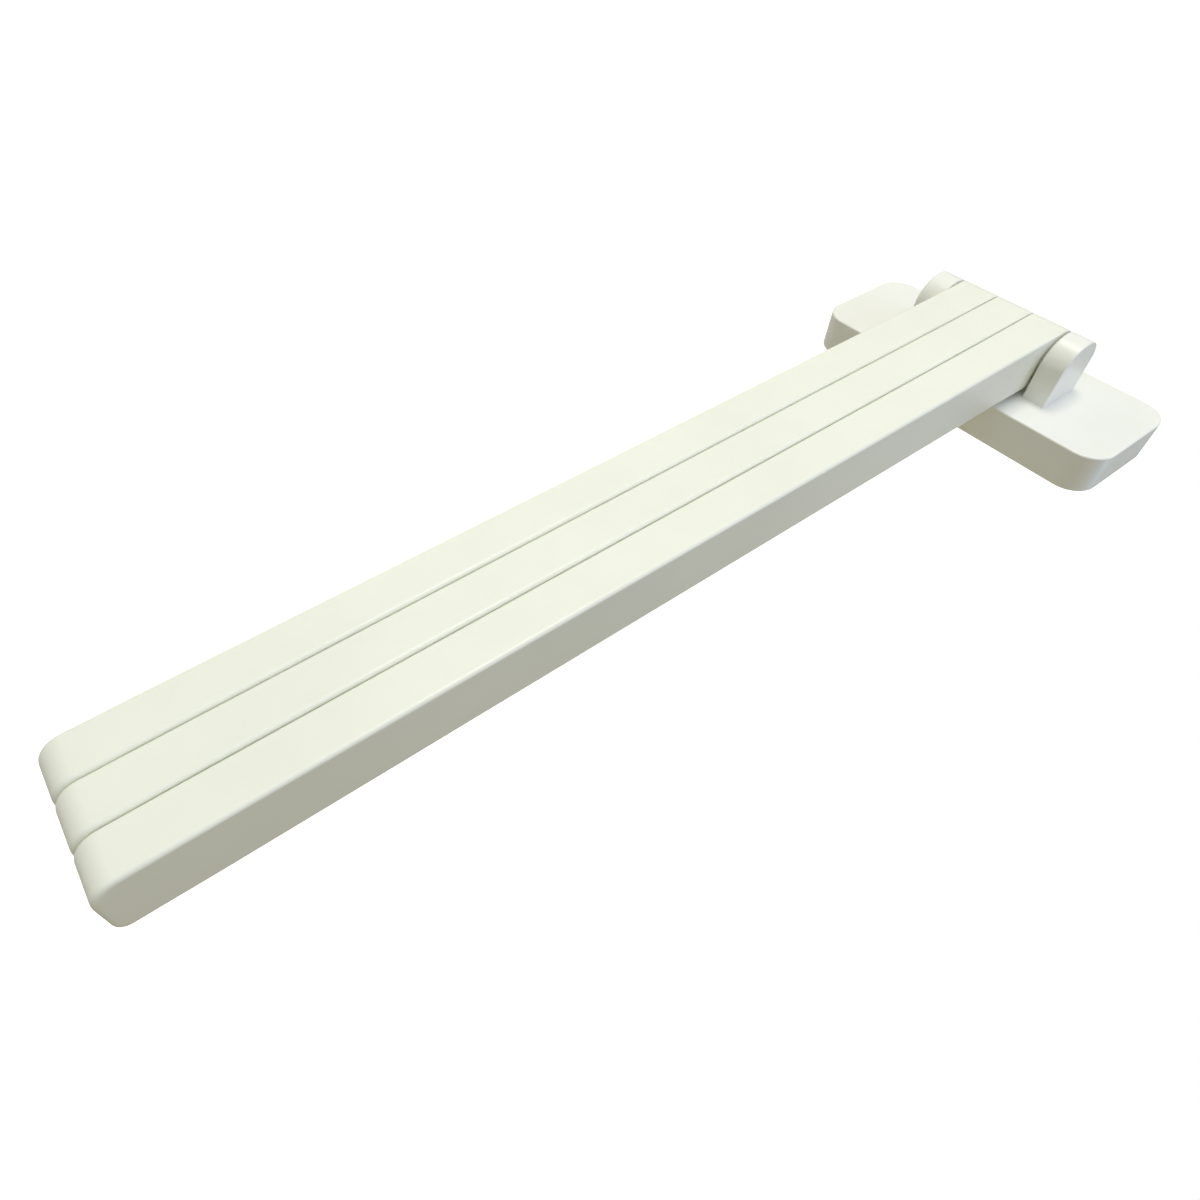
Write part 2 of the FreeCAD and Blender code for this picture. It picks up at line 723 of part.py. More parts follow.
def make_back_cover(doc, name, level):
    """The strip that closes an arm's channel, with a thumbnail notch at its far end."""
    body = new_body(doc, f"arm_back_cover_{name}")
    outside = value(doc, "ear_radius")
    strip = new_sketch(body, "XZ_Plane", "strip", across="dims.cavity_middle", depth="-dims.ear_radius")
    strip_length = "dims.cavity_length - 2 * dims.cover_fit"
    draw_rectangle(strip, strip_length, "2 * (dims.cavity_half - dims.cover_fit)")
    add_pad(body, strip, "dims.cover_thickness")
    notch = new_sketch(
        body, "XZ_Plane", "notch", across="dims.cavity_end - dims.cover_fit", depth="-dims.ear_radius"
    )
    draw_circle(notch, "dims.pry_radius")
    add_pocket(body, notch, "dims.cover_thickness", along=True)
    round_edges(
        body, "cover_edges", "dims.cover_edge", lambda edge: in_plane(edge, "Y", outside), kind="Chamfer"
    )
    pad_legs(body)
    arm_place(body, level)
    return body


def make_arms(doc):
    """Three equal arms, each with its back cover and its bush."""
    pieces = []
    for name, level in ARM_LEVELS.items():
        pieces.append(make_arm_shell(doc, name, level))
        pieces.append(make_back_cover(doc, name, level))
        bush = make_ring(
            doc,
            f"pivot_bush_{name}",
            "dims.bush_radius",
            "dims.bolt_radius + dims.bush_clearance",
            "dims.arm_height",
            "dims.pivot_offset",
            f"{level} * dims.arm_pitch - dims.arm_half",
        )
        pieces.append(bush)
    return pieces


# ---------------------------------------------------------------- document


def check(doc, pieces):
    """Stop if any object failed to build or any piece isn't one valid solid."""
    for item in doc.Objects:
        if {"Invalid", "Error"} & set(item.State):
            raise ValueError(f"{item.Name} is {item.State}")
    for piece in pieces:
        shape = piece.Shape
        if shape.isNull() or not shape.isValid() or len(shape.Solids) != 1:
            raise ValueError(f"{piece.Label} isn't one valid solid")


def main():
    doc = FreeCAD.newDocument("swivel_towel_rail")
    make_sheet(doc)
    pieces = [
        make_wall_housing(doc),
        make_wall_bracket(doc),
        make_lock_screw(doc),
        make_pivot_bolt(doc),
        make_pivot_cap(doc),
    ]
    pieces += make_inserts(doc)
    pieces += make_spacers(doc)
    pieces += make_arms(doc)
    doc.recompute()
    check(doc, pieces)
    os.makedirs(PARTS_FOLDER, exist_ok=True)
    for piece in pieces:
        piece.Shape.exportStep(os.path.join(PARTS_FOLDER, f"{piece.Label}.step"))
        print(f"{piece.Label}: {piece.Shape.Volume:.0f} mm3")


main()
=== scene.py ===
"""Three-arm swivel towel rail: its finished mouldings, pressed steel, finishes and studio.

It is laid out as an add-on and run as a script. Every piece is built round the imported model: the
origin is the middle of the wall face, +Z is up along the pivot, the front faces -Y and the folded
arms point along +X. All lengths are in metres.
"""

import json
import math

import bmesh
import bpy
from bpy.props import FloatProperty, FloatVectorProperty, IntProperty, PointerProperty
from mathutils import Matrix, Vector


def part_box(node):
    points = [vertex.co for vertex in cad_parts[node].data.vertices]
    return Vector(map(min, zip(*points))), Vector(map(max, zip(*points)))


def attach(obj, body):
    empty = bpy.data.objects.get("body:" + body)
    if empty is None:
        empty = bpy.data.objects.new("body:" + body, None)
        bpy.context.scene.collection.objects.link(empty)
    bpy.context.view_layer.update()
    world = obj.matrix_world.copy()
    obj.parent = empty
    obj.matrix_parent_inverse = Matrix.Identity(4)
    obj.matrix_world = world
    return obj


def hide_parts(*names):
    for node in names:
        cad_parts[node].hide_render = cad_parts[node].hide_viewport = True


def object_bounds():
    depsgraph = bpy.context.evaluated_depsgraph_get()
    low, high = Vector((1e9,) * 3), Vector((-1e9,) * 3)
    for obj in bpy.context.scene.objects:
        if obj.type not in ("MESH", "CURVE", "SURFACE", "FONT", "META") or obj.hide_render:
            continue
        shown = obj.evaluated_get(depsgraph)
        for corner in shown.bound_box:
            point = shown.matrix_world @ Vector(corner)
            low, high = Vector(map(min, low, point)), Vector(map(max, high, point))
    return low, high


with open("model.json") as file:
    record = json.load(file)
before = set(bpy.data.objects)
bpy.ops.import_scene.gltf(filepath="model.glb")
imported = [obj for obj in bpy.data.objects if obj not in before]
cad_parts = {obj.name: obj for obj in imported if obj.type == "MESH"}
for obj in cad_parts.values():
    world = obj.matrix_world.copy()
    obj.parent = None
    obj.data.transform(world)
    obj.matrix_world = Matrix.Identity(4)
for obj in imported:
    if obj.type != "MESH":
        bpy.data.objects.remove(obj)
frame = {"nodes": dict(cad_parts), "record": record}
CAD_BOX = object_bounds()

bl_info = {
    "name": "Swivel towel rail",
    "version": (1, 0, 0),
    "blender": (4, 5, 0),
    "location": "3D View > Sidebar > Towel rail",
    "description": "Builds the visible pieces of a three-arm swivel towel rail round its packed frame",
    "category": "Add Mesh",
}

ARMS = ("upper", "middle", "lower")
SIGNS = (-1, 1)
QUARTER = math.pi / 2
FLAT = 1e-6  # corners this near a plane lie in it
MERGE = 4e-6  # corners nearer than this become one
OVERLAP = 2e-4  # how far an added block is sunk in its wall
SHEET_EDGE = 2e-4
MOUTH_EDGE = 2e-4
RIB_EDGE = 1.5e-4
FINE_EDGE = 1e-4
CROWN_SHARE = 0.9998  # an ear's shoulders are rounded by just under its radius
ARC_STEP = math.radians(5)
ROUND_STEPS = 72
LONG_STEPS = 48
SMOOTH_ANGLE = math.radians(32)
WALL_TO_FRONT = Matrix.Rotation(QUARTER, 4, "X")
FRONT_TO_WALL = Matrix.Rotation(-QUARTER, 4, "X")

HOUSING_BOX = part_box("wall_housing")
BRACKET_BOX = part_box("wall_bracket")
ARM_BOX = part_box("arm_shell_middle")
COVER_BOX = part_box("arm_back_cover_middle")
CAP_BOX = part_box("pivot_cap")
EAR_RADIUS = -ARM_BOX[0].x
PIVOT_Y = HOUSING_BOX[0].y + EAR_RADIUS
ARM_HEIGHT = ARM_BOX[1].z - ARM_BOX[0].z
EAR_OUTER = -CAP_BOX[0].z
EAR_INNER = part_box("bolt_insert")[0].z


# ------------------------------------------------------------------ settings


def length(name, default, description):
    """A length that a user may change, in metres."""
    return FloatProperty(name=name, default=default, description=description, unit="LENGTH", precision=5)


def colour(name, default, description):
    """A linear colour that a user may change."""
    return FloatVectorProperty(
        name=name, default=default, description=description, subtype="COLOR", min=0, max=1
    )


def power(name, default, description):
    """A lamp's power that a user may change, in watts."""
    return FloatProperty(name=name, default=default, description=description, min=0, unit="POWER")


class RailSizes(bpy.types.PropertyGroup):
    """Sizes of the mouldings and the pressed steel that the frame's boxes don't give."""

    plate_depth: length("Plate depth", 0.0177, "Thickness of the wall plate from the wall to its front")
    plate_corner: length("Plate corner", 0.0117, "Radius of the wall plate's four corners")
    plate_edge: length("Plate edge", 0.0008, "Rounding of the wall plate's front rim")
    moulding_wall: length("Moulding wall", 0.0025, "Wall thickness of the housing")
    ear_edge: length("Ear edge", 0.0006, "Rounding of the ears' outlines")
    ear_root: length("Ear root", 0.0008, "Fillet where the ears meet the plate")
    brace_offset: length("Brace offset", 0.0070, "Distance of an ear's two braces from its middle")
    brace_length: length("Brace length", 0.0300, "Length of a brace up the plate")
    brace_depth: length("Brace depth", 0.0070, "Depth of a brace behind the plate's front")
    brace_thickness: length("Brace thickness", 0.0020, "Thickness of a brace")
    hook_reach: length("Hook reach", 0.0095, "How far a hook reaches in from the side wall")
    hook_offset: length("Hook offset", 0.0012, "Distance of a hook from the wall")
    hook_thickness: length("Hook thickness", 0.0024, "Thickness of a hook")
    bore_radius: length("Cap bore", 0.0082, "Radius of the recess that takes the bolt's head and its cap")
    bore_depth: length("Cap bore depth", 0.0064, "Depth of that recess")
    shank_radius: length("Shank hole", 0.0041, "Radius of the hole for the pivot bolt")
    insert_radius: length("Insert seat", 0.0060, "Radius of the blind seat of the bolt's insert")
    insert_depth: length("Insert seat depth", 0.0075, "Depth of that seat")
    arm_edge: length("Arm edge", 0.0014, "Rounding of the long edges of an arm")
    hub_edge: length("Hub edge", 0.0006, "Rounding of the edges round an arm's pivot end")
    tip_edge: length("Tip edge", 0.0020, "Rounding of the edges round an arm's free end")
    tip_front: length("Front tip radius", 0.0086, "Radius of the free end's front corner")
    tip_back: length("Back tip radius", 0.0042, "Radius of the free end's back corner")
    arm_wall: length("Arm wall", 0.0020, "Wall thickness of an arm")
    channel_start: length("Channel start", 0.0150, "Distance from the pivot to the arm's channel")
    rib_thickness: length("Rib thickness", 0.0016, "Thickness of the cross ribs inside an arm")
    cover_thickness: length("Cover thickness", 0.0020, "Thickness of a back cover")
    cover_fit: length("Cover fit", 0.00015, "Gap round a back cover")
    cover_edge: length("Cover edge", 0.0003, "Edge of a back cover, the cap and the lock boss")
    notch_radius: length("Notch radius", 0.0016, "Thumbnail notch at a back cover's far end")
    leg_length: length("Leg length", 0.0100, "Length of a back cover's snap leg along the arm")
    leg_thickness: length("Leg thickness", 0.0012, "Thickness of a snap leg")
    leg_end: length("Leg end", 0.0090, "Depth of a snap leg's end behind the cover's face")
    snap_width: length("Snap width", 0.0011, "Width of the bead at a snap leg's end")
    snap_root: length("Snap root", 0.0006, "How far the bead is sunk in its leg")
    snap_reach: length("Snap reach", 0.00035, "How far the bead stands out of its leg")
    cap_skirt: length("Cap skirt", 0.0066, "Inner radius of the cap's skirt")
    cap_disc: length("Cap disc", 0.0015, "Thickness of the cap's disc")
    bush_bore: length("Bush bore", 0.00405, "Bore radius of the pivot bushes")
    sheet: length("Steel sheet", 0.0020, "Thickness of the pressed bracket")
    bend: length("Bend radius", 0.0008, "Inner radius of the bracket's bends")
    web_width: length("Web width", 0.0280, "Width of the bracket's flat web")
    web_corner: length("Web corner", 0.0040, "Radius of the web's corners")
    lip_width: length("Lip width", 0.0160, "Width of the bracket's lower lip")
    screw_hole: length("Screw hole", 0.0025, "Radius of the two wall screw holes")
    screw_spacing: length("Screw spacing", 0.0800, "Distance between the wall screw holes")
    lock_offset: length("Lock offset", 0.0105, "Distance of the lock screw from the wall")
    lock_radius: length("Lock hole", 0.0024, "Radius of the hole that gives access to the lock screw")
    boss_radius: length("Boss radius", 0.0052, "Radius of the lock screw's boss")
    boss_height: length("Boss height", 0.0095, "Height of the boss above the lower wall")
    boss_seat: length("Boss seat", 0.0032, "Radius of the lock insert's seat in the boss")
    boss_step: length("Boss step", 0.0015, "Height at which that seat ends")
    boss_bore: length("Boss bore", 0.00245, "Radius of the boss's bore below the seat")
    tab_spacing: length("Tab spacing", 0.0480, "Distance between the bracket's upper and lower tabs")
    tab_length: length("Tab length", 0.0120, "Length of a bracket tab and of the hook behind it")
    tab_step: length("Tab step", 0.0040, "Distance of a tab from the wall")
    fold_root: length("Fold root", 0.0010, "How far a folded strip is sunk in the web")
    relief: length("Bend relief", 0.0005, "Gap beside a bend in the bracket")
    mark_radius: length("Ejector mark", 0.0025, "Radius of the ejector marks inside the housing")
    mark_depth: length("Ejector mark height", 0.00015, "How far the ejector marks stand proud")
    mark_across: length("Ejector mark offset", 0.0170, "Distance of the marks from the middle line")
    mark_spacing: length("Ejector mark spacing", 0.0600, "Distance between ejector marks up the plate")
    ribs: IntProperty(name="Ribs", default=7, min=0, max=20, description="Cross ribs inside an arm")


class RailFinishes(bpy.types.PropertyGroup):
    """Colours of the finishes."""

    housing: colour("Housing", (0.885, 0.900, 0.830), "White plastic of the housing")
    arm: colour("Arm", (0.875, 0.895, 0.780), "Cream white plastic of the arms")
    cover: colour("Cover", (0.850, 0.862, 0.765), "Satin plastic of the back covers")
    bearing: colour("Bearing", (0.800, 0.790, 0.740), "Natural plastic of washers and bushes")
    sheet: colour("Sheet", (0.620, 0.620, 0.610), "Stainless steel of the pressed bracket")
    screw: colour("Screw", (0.560, 0.555, 0.545), "Steel of the bolt and screws")
    brass: colour("Brass", (0.780, 0.570, 0.280), "Brass of the inserts")


class RailStage(bpy.types.PropertyGroup):
    """The floor, lights and camera."""

    floor_drop: length("Floor drop", 0.90, "Height of the rail above the floor")
    floor_size: length("Floor size", 12.0, "Side of the square floor")
    pale: colour("Pale", (0.93, 0.93, 0.93), "Colour of the floor")
    around: colour("Around", (0.310, 0.268, 0.145), "Warm light from all round")
    front: colour("Front", (0.760, 0.830, 1.000), "Cool light from straight in front")
    key_tone: colour("Key tone", (0.98, 0.95, 0.83), "Tone of the key light")
    side_tone: colour("Side tone", (0.54, 0.60, 1.0), "Tone of the light above the pivot")
    edge_tone: colour("Edge tone", (0.40, 0.72, 1.0), "Tone of the light beyond the pivot")
    key_power: power("Key power", 8.2, "Power of the key light in front")
    side_power: power("Side power", 1.95, "Power of the light above the pivot")
    edge_power: power("Edge power", 0.13, "Power of the light beyond the pivot")
    back_power: power("Back power", 7.0, "Power of the light behind")
    floor_lift: FloatProperty(
        name="Floor lift", default=1.0, min=0, description="How far the floor is lifted to white"
    )
    camera_place: FloatVectorProperty(
        name="Camera place",
        default=(0.3591, -0.2359, 0.1440),
        subtype="TRANSLATION",
        description="Camera position",
    )
    camera_turn: FloatVectorProperty(
        name="Camera turn",
        default=[math.radians(a) for a in (-50.12, -35.53, 179.12)],
        subtype="EULER",
        description="Camera rotation",
    )
    camera_lens: FloatProperty(
        name="Lens", default=24.12, unit="CAMERA", description="Focal length in millimetres"
    )
    camera_shift: FloatVectorProperty(
        name="Shift", default=(0.0583, 0.0063), size=2, description="Lens shift"
    )


# ------------------------------------------------------------------ shaping helpers


def draw_outline(bm, start, moves):
    """An outline in the XY plane. Each move is a place and an angle.

    Without an angle it is a point to go to, and with one it is the centre of an arc.
    """
    before = set(bm.verts)
    tip = bmesh.ops.create_vert(bm, co=(*start, 0))["vert"][0]
    for place, angle in moves:
        if angle:
            steps = max(2, math.ceil(abs(angle) / ARC_STEP))
            arc = bmesh.ops.spin(
                bm,
                geom=[tip],
                cent=(*place, 0),
                axis=(0, 0, 1),
                angle=angle,
                steps=steps,
                use_duplicate=False,
            )
            tip = next(item for item in arc["geom_last"] if isinstance(item, bmesh.types.BMVert))
        else:
            tip = bmesh.ops.extrude_vert_indiv(bm, verts=[tip])["verts"][0]
            tip.co = (*place, 0)
    drawn = [v for v in bm.verts if v not in before]
    bmesh.ops.remove_doubles(bm, verts=drawn, dist=MERGE)
    return [v for v in bm.verts if v not in before]


def rounded_rectangle(width, height, radius):
    """Start and moves of a rectangle with round corners, centred on the origin, anticlockwise."""
    x, y = width / 2, height / 2
    start = (radius - x, -y)
    moves = [
        ((x - radius, -y), 0),
        ((x - radius, radius - y), QUARTER),
        ((x, y - radius), 0),
        ((x - radius, y - radius), QUARTER),
        ((radius - x, y), 0),
        ((radius - x, y - radius), QUARTER),
        ((-x, radius - y), 0),
        ((radius - x, radius - y), QUARTER),
    ]
    return start, moves


def raise_outline(bm, verts, height):
    """Fill an outline, closing its last side if it is open, and draw it up along Z into a block."""
    edges = list({edge for vert in verts for edge in vert.link_edges})
    face = bmesh.ops.contextual_create(bm, geom=edges)["faces"][0]
    raised = bmesh.ops.extrude_face_region(bm, geom=[face], use_keep_orig=True)["geom"]
    top = [item for item in raised if isinstance(item, bmesh.types.BMVert)]
    bmesh.ops.translate(bm, verts=top, vec=(0, 0, height))
    bmesh.ops.recalc_face_normals(bm, faces=bm.faces)


def in_plane(item, axis, place):
    """True for an edge or face whose corners all lie at this place along an axis."""
    return all(abs(vert.co[axis] - place) < FLAT for vert in item.verts)


def faces_at(bm, axis, place):
    """The faces that lie flat at this place along an axis."""
    return [face for face in bm.faces if in_plane(face, axis, place)]


def largest(faces):
    """The face with the largest area."""
    return max(faces, key=lambda face: face.calc_area())


def bevel(bm, edges, width, segments=4):
    """Round edges by this width."""
    bmesh.ops.bevel(
        bm,
        geom=edges,
        offset=width,
        offset_type="OFFSET",
        affect="EDGES",
        segments=segments,
        profile=0.5,
        material=-1,
        clamp_overlap=True,
    )


def slice_faces(bm, faces, axis, places):
    """Cut flat faces by planes across an axis, and give back all the faces that result."""
    normal = Vector((0, 0, 0))
    normal[axis] = 1
    for place in places:
        edges = {edge for face in faces for edge in face.edges}
        verts = {vert for face in faces for vert in face.verts}
        around = [*faces, *edges, *verts]
        cut = bmesh.ops.bisect_plane(
            bm, geom=around, plane_co=normal * place, plane_no=normal, dist=FLAT / 10
        )
        faces = [item for item in cut["geom"] if isinstance(item, bmesh.types.BMFace)]
    return faces


def face_in(faces, low, high):
    """The faces whose middle lies within limits along each axis. None sets no limit."""
    found = []
    for face in faces:
        middle = face.calc_center_median()
        if all(a is None or a < c < b for a, b, c in zip(low, high, middle)):
            found.append(face)
    return found


def cut_holes(bm, face, centres, radius, depth, floor=True):
    """Round holes in a flat face. Each has a wall of this depth, and a floor unless it goes through."""
    normal = face.normal.copy()
    rim = list(face.edges)
    bmesh.ops.delete(bm, geom=[face], context="FACES_ONLY")
    turn = normal.to_track_quat("Z", "Y").to_matrix().to_4x4()
    rings = []
    for centre in centres:
        place = Matrix.Translation(centre) @ turn
        ring = bmesh.ops.create_circle(
            bm, cap_ends=False, segments=ROUND_STEPS, radius=radius, matrix=place
        )
        rings.append(list({edge for vert in ring["verts"] for edge in vert.link_edges}))
    hole_edges = [edge for ring in rings for edge in ring]
    bmesh.ops.triangle_fill(
        bm, use_beauty=True, use_dissolve=False, edges=rim + hole_edges, normal=normal
    )
    bottoms = []
    for ring in rings:
        wall = bmesh.ops.extrude_edge_only(bm, edges=ring)["geom"]
        lower = [item for item in wall if isinstance(item, bmesh.types.BMVert)]
        bmesh.ops.translate(bm, verts=lower, vec=-normal * depth)
        edges = [item for item in wall if isinstance(item, bmesh.types.BMEdge)]
        loop = [edge for edge in edges if len(edge.link_faces) == 1]
        if floor:
            bottoms += bmesh.ops.contextual_create(bm, geom=loop)["faces"]
        else:
            bottoms.append(loop)
    bmesh.ops.recalc_face_normals(bm, faces=bm.faces)
    return bottoms


def merge_loops(bm, loops):
    """Join loops of edges that lie on each other."""
    verts = {vert for loop in loops for edge in loop for vert in edge.verts}
    bmesh.ops.remove_doubles(bm, verts=list(verts), dist=MERGE)


def bore_through(bm, near, far, centre, radius, axis):
    """A round hole from one flat face to another along an axis."""
    loops = []
    for face in (near, far):
        point = Vector(centre)
        point[axis] = face.calc_center_median()[axis]
        loops += cut_holes(bm, face, [point], radius, 0, floor=False)
    merge_loops(bm, loops)


def add_block(bm, low, high, edge=0.0):
    """A moulded block between two corners, with its edges rounded."""
    low, high = Vector(low), Vector(high)
    place = Matrix.Translation((low + high) / 2) @ Matrix.Diagonal((*(high - low), 1))
    made = bmesh.ops.create_cube(bm, size=1, matrix=place)["verts"]
    if edge:
        bevel(bm, list({side for vert in made for side in vert.link_edges}), edge, 2)


def lathe(bm, profile, place=Matrix.Identity(4)):
    """Turn a profile of (radius, height) points about the Z axis into a closed solid."""
    verts = [bmesh.ops.create_vert(bm, co=(radius, 0, height))["vert"][0] for radius, height in profile]
    pairs = list(zip(verts, verts[1:]))
    if profile[0][0] > 0:
        pairs.append((verts[-1], verts[0]))
    edges = [bmesh.ops.contextual_create(bm, geom=list(pair))["edges"][0] for pair in pairs]
    before = set(bm.verts) - set(verts)
    bmesh.ops.spin(
        bm,
        geom=verts + edges,
        cent=(0, 0, 0),
        axis=(0, 0, 1),
        angle=math.tau,
        steps=ROUND_STEPS,
        use_merge=True,
        use_duplicate=False,
    )
    made = [vert for vert in bm.verts if vert not in before]
    bmesh.ops.remove_doubles(bm, verts=made, dist=MERGE)
    made = [vert for vert in bm.verts if vert not in before]
    bmesh.ops.transform(bm, matrix=place, verts=made)


def quarter_round(outer, edge, steps=3):
    """Profile points that round a disc's lower rim, from its underside to its side."""
    turns = [QUARTER * step / steps for step in range(steps + 1)]
    return [(outer - edge * (1 - math.sin(turn)), edge * (1 - math.cos(turn))) for turn in turns]


def add_section(bm, start, moves, width, place):
    """A strip of folded sheet, drawn from its outline evenly both ways along Z, with its edges broken."""
    before = set(bm.verts)
    raise_outline(bm, draw_outline(bm, start, moves), width)
    edges = {edge for vert in bm.verts if vert not in before for edge in vert.link_edges}
    ends = [edge for edge in edges if in_plane(edge, 2, 0) or in_plane(edge, 2, width)]
    bevel(bm, ends, SHEET_EDGE, 2)
    made = [vert for vert in bm.verts if vert not in before]
    bmesh.ops.translate(bm, verts=made, vec=(0, 0, -width / 2))
    bmesh.ops.transform(bm, matrix=place, verts=made)


def make_piece(bm, name, body, slot, nodes):
    """Turn a finished bmesh into a piece that rides on a body in place of its CAD nodes."""
    bmesh.ops.recalc_face_normals(bm, faces=bm.faces)
    for edge in bm.edges:
        edge.smooth = len(edge.link_faces) == 2 and edge.calc_face_angle() < SMOOTH_ANGLE
    for face in bm.faces:
        face.smooth = True
    mesh = bpy.data.meshes.new(name)
    bm.to_mesh(mesh)
    bm.free()
    mesh.materials.append(finish_for(slot))
    piece = bpy.data.objects.new(name, mesh)
    bpy.context.scene.collection.objects.link(piece)
    normals = piece.modifiers.new("flat_faces_stay_flat", "WEIGHTED_NORMAL")
    normals.keep_sharp = True
    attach(piece, body)
    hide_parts(*nodes)


# ------------------------------------------------------------------ finishes


def new_material(name):
    """A material with its principled shader, and its tree."""
    material = bpy.data.materials.new(name)
    material.use_nodes = True
    return material, material.node_tree, material.node_tree.nodes["Principled BSDF"]


def add_node(tree, kind, inputs=None, **settings):
    """A shader node with its settings and the values or links of its inputs."""
    node = tree.nodes.new(kind)
    for name, value in settings.items():
        setattr(node, name, value)
    for name, value in (inputs or {}).items():
        if isinstance(value, bpy.types.NodeSocket):
            tree.links.new(value, node.inputs[name])
        else:
            node.inputs[name].default_value = value
    return node


def object_noise(tree, scale, detail=2.0, stretch=(1, 1, 1)):
    """Noise in the object's own space: scale is in features a metre."""
    place = add_node(tree, "ShaderNodeTexCoord").outputs["Object"]
    mapped = add_node(tree, "ShaderNodeMapping", {"Vector": place, "Scale": stretch})
    inputs = {"Vector": mapped.outputs["Vector"], "Scale": scale, "Detail": detail}
    return add_node(tree, "ShaderNodeTexNoise", inputs).outputs["Fac"]


def spread(tree, value, low, high):
    """Map a noise value, which stays near the middle, onto a range."""
    inputs = {"Value": value, "From Min": 0.3, "From Max": 0.7, "To Min": low, "To Max": high}
    return add_node(tree, "ShaderNodeMapRange", inputs).outputs["Result"]


def tint(tree, value, low, high):
    """Blend two colours by a value. Either colour may come from a node."""
    mix = add_node(tree, "ShaderNodeMix", data_type="RGBA")
    tree.links.new(value, mix.inputs["Factor"])
    sockets = [socket for socket in mix.inputs if socket.type == "RGBA"]
    for socket, tone in zip(sockets, (low, high)):
        if isinstance(tone, bpy.types.NodeSocket):
            tree.links.new(tone, socket)
        else:
            socket.default_value = (*tone, 1)
    return next(socket for socket in mix.outputs if socket.type == "RGBA")


def bump(tree, height, distance, strength=1.0, normal=None):
    """A bump of this height in metres, laid over another."""
    inputs = {"Height": height, "Distance": distance, "Strength": strength}
    if normal:
        inputs["Normal"] = normal
    return add_node(tree, "ShaderNodeBump", inputs).outputs["Normal"]


def shade(tone, factor):
    """A lighter or darker shade of a colour."""
    return tuple(min(1.0, channel * factor) for channel in tone)


def dust_specks(tree):
    """1 at a few small round specks and 0 elsewhere."""
    place = add_node(tree, "ShaderNodeTexCoord").outputs["Object"]
    cells = add_node(tree, "ShaderNodeTexVoronoi", {"Vector": place, "Scale": 75.0}, feature="F1").outputs
    fade = {"From Min": 0.02, "From Max": 0.035, "To Min": 1.0, "To Max": 0.0}
    near = add_node(tree, "ShaderNodeMapRange", {"Value": cells["Distance"], **fade}).outputs["Result"]
    chosen = add_node(tree, "ShaderNodeMath", {0: cells["Color"], 1: 0.80}, operation="GREATER_THAN")
    specks = add_node(tree, "ShaderNodeMath", {0: near, 1: chosen.outputs[0]}, operation="MULTIPLY")
    return specks.outputs[0]


def moulded_plastic(name, tone, gloss, grain):
    """Moulded plastic: faint mottling, flow waviness, fine mould grain and a few dust specks."""
    material, tree, shader = new_material(name)
    mottle = spread(tree, object_noise(tree, 22, 3), 0, 1)
    clean = tint(tree, mottle, shade(tone, 0.975), shade(tone, 1.012))
    tree.links.new(tint(tree, dust_specks(tree), clean, shade(tone, 0.80)), shader.inputs["Base Color"])
    rough = spread(tree, object_noise(tree, 140, 4), gloss - 0.05, gloss + 0.06)
    tree.links.new(rough, shader.inputs["Roughness"])
    flow = bump(tree, object_noise(tree, 45, 1, (0.35, 1, 1)), 1.2e-4, 0.35)
    skin = bump(tree, object_noise(tree, 3800, 2), 1.5e-5, grain, flow)
    tree.links.new(skin, shader.inputs["Normal"])
    shader.inputs["IOR"].default_value = 1.49
    return material


def natural_plastic(name, tone):
    """Unpigmented bearing plastic: waxy, slightly clouded."""
    material, tree, shader = new_material(name)
    cloud = spread(tree, object_noise(tree, 260, 3), 0, 1)
    tree.links.new(tint(tree, cloud, shade(tone, 0.92), tone), shader.inputs["Base Color"])
    tree.links.new(spread(tree, object_noise(tree, 900, 2), 0.38, 0.5), shader.inputs["Roughness"])
    tree.links.new(bump(tree, object_noise(tree, 2600, 2), 1e-5, 0.5), shader.inputs["Normal"])
    shader.inputs["Subsurface Weight"].default_value = 0.15
    shader.inputs["Subsurface Radius"].default_value = (0.002, 0.0018, 0.0014)
    return material


def rolled_sheet(name, tone):
    """Brushed stainless sheet: a long rolled grain and dull smears."""
    material, tree, shader = new_material(name)
    smear = spread(tree, object_noise(tree, 70, 3), 0, 1)
    tree.links.new(tint(tree, smear, shade(tone, 0.9), shade(tone, 1.06)), shader.inputs["Base Color"])
    rolled = object_noise(tree, 1400, 3, (1, 1, 0.04))
    tree.links.new(spread(tree, rolled, 0.26, 0.46), shader.inputs["Roughness"])
    tree.links.new(bump(tree, rolled, 1.5e-5, 0.5), shader.inputs["Normal"])
    shader.inputs["Metallic"].default_value = 1.0
    return material


def turned_metal(name, tone, gloss):
    """Turned screw metal: fine rings from the tool and slight staining."""
    material, tree, shader = new_material(name)
    stain = spread(tree, object_noise(tree, 420, 3), 0, 1)
    tree.links.new(tint(tree, stain, shade(tone, 0.82), shade(tone, 1.08)), shader.inputs["Base Color"])
    rings = object_noise(tree, 3200, 2, (0.05, 0.05, 1))
    tree.links.new(spread(tree, rings, gloss - 0.06, gloss + 0.1), shader.inputs["Roughness"])
    tree.links.new(bump(tree, rings, 1.2e-5, 0.6), shader.inputs["Normal"])
    shader.inputs["Metallic"].default_value = 1.0
    return material


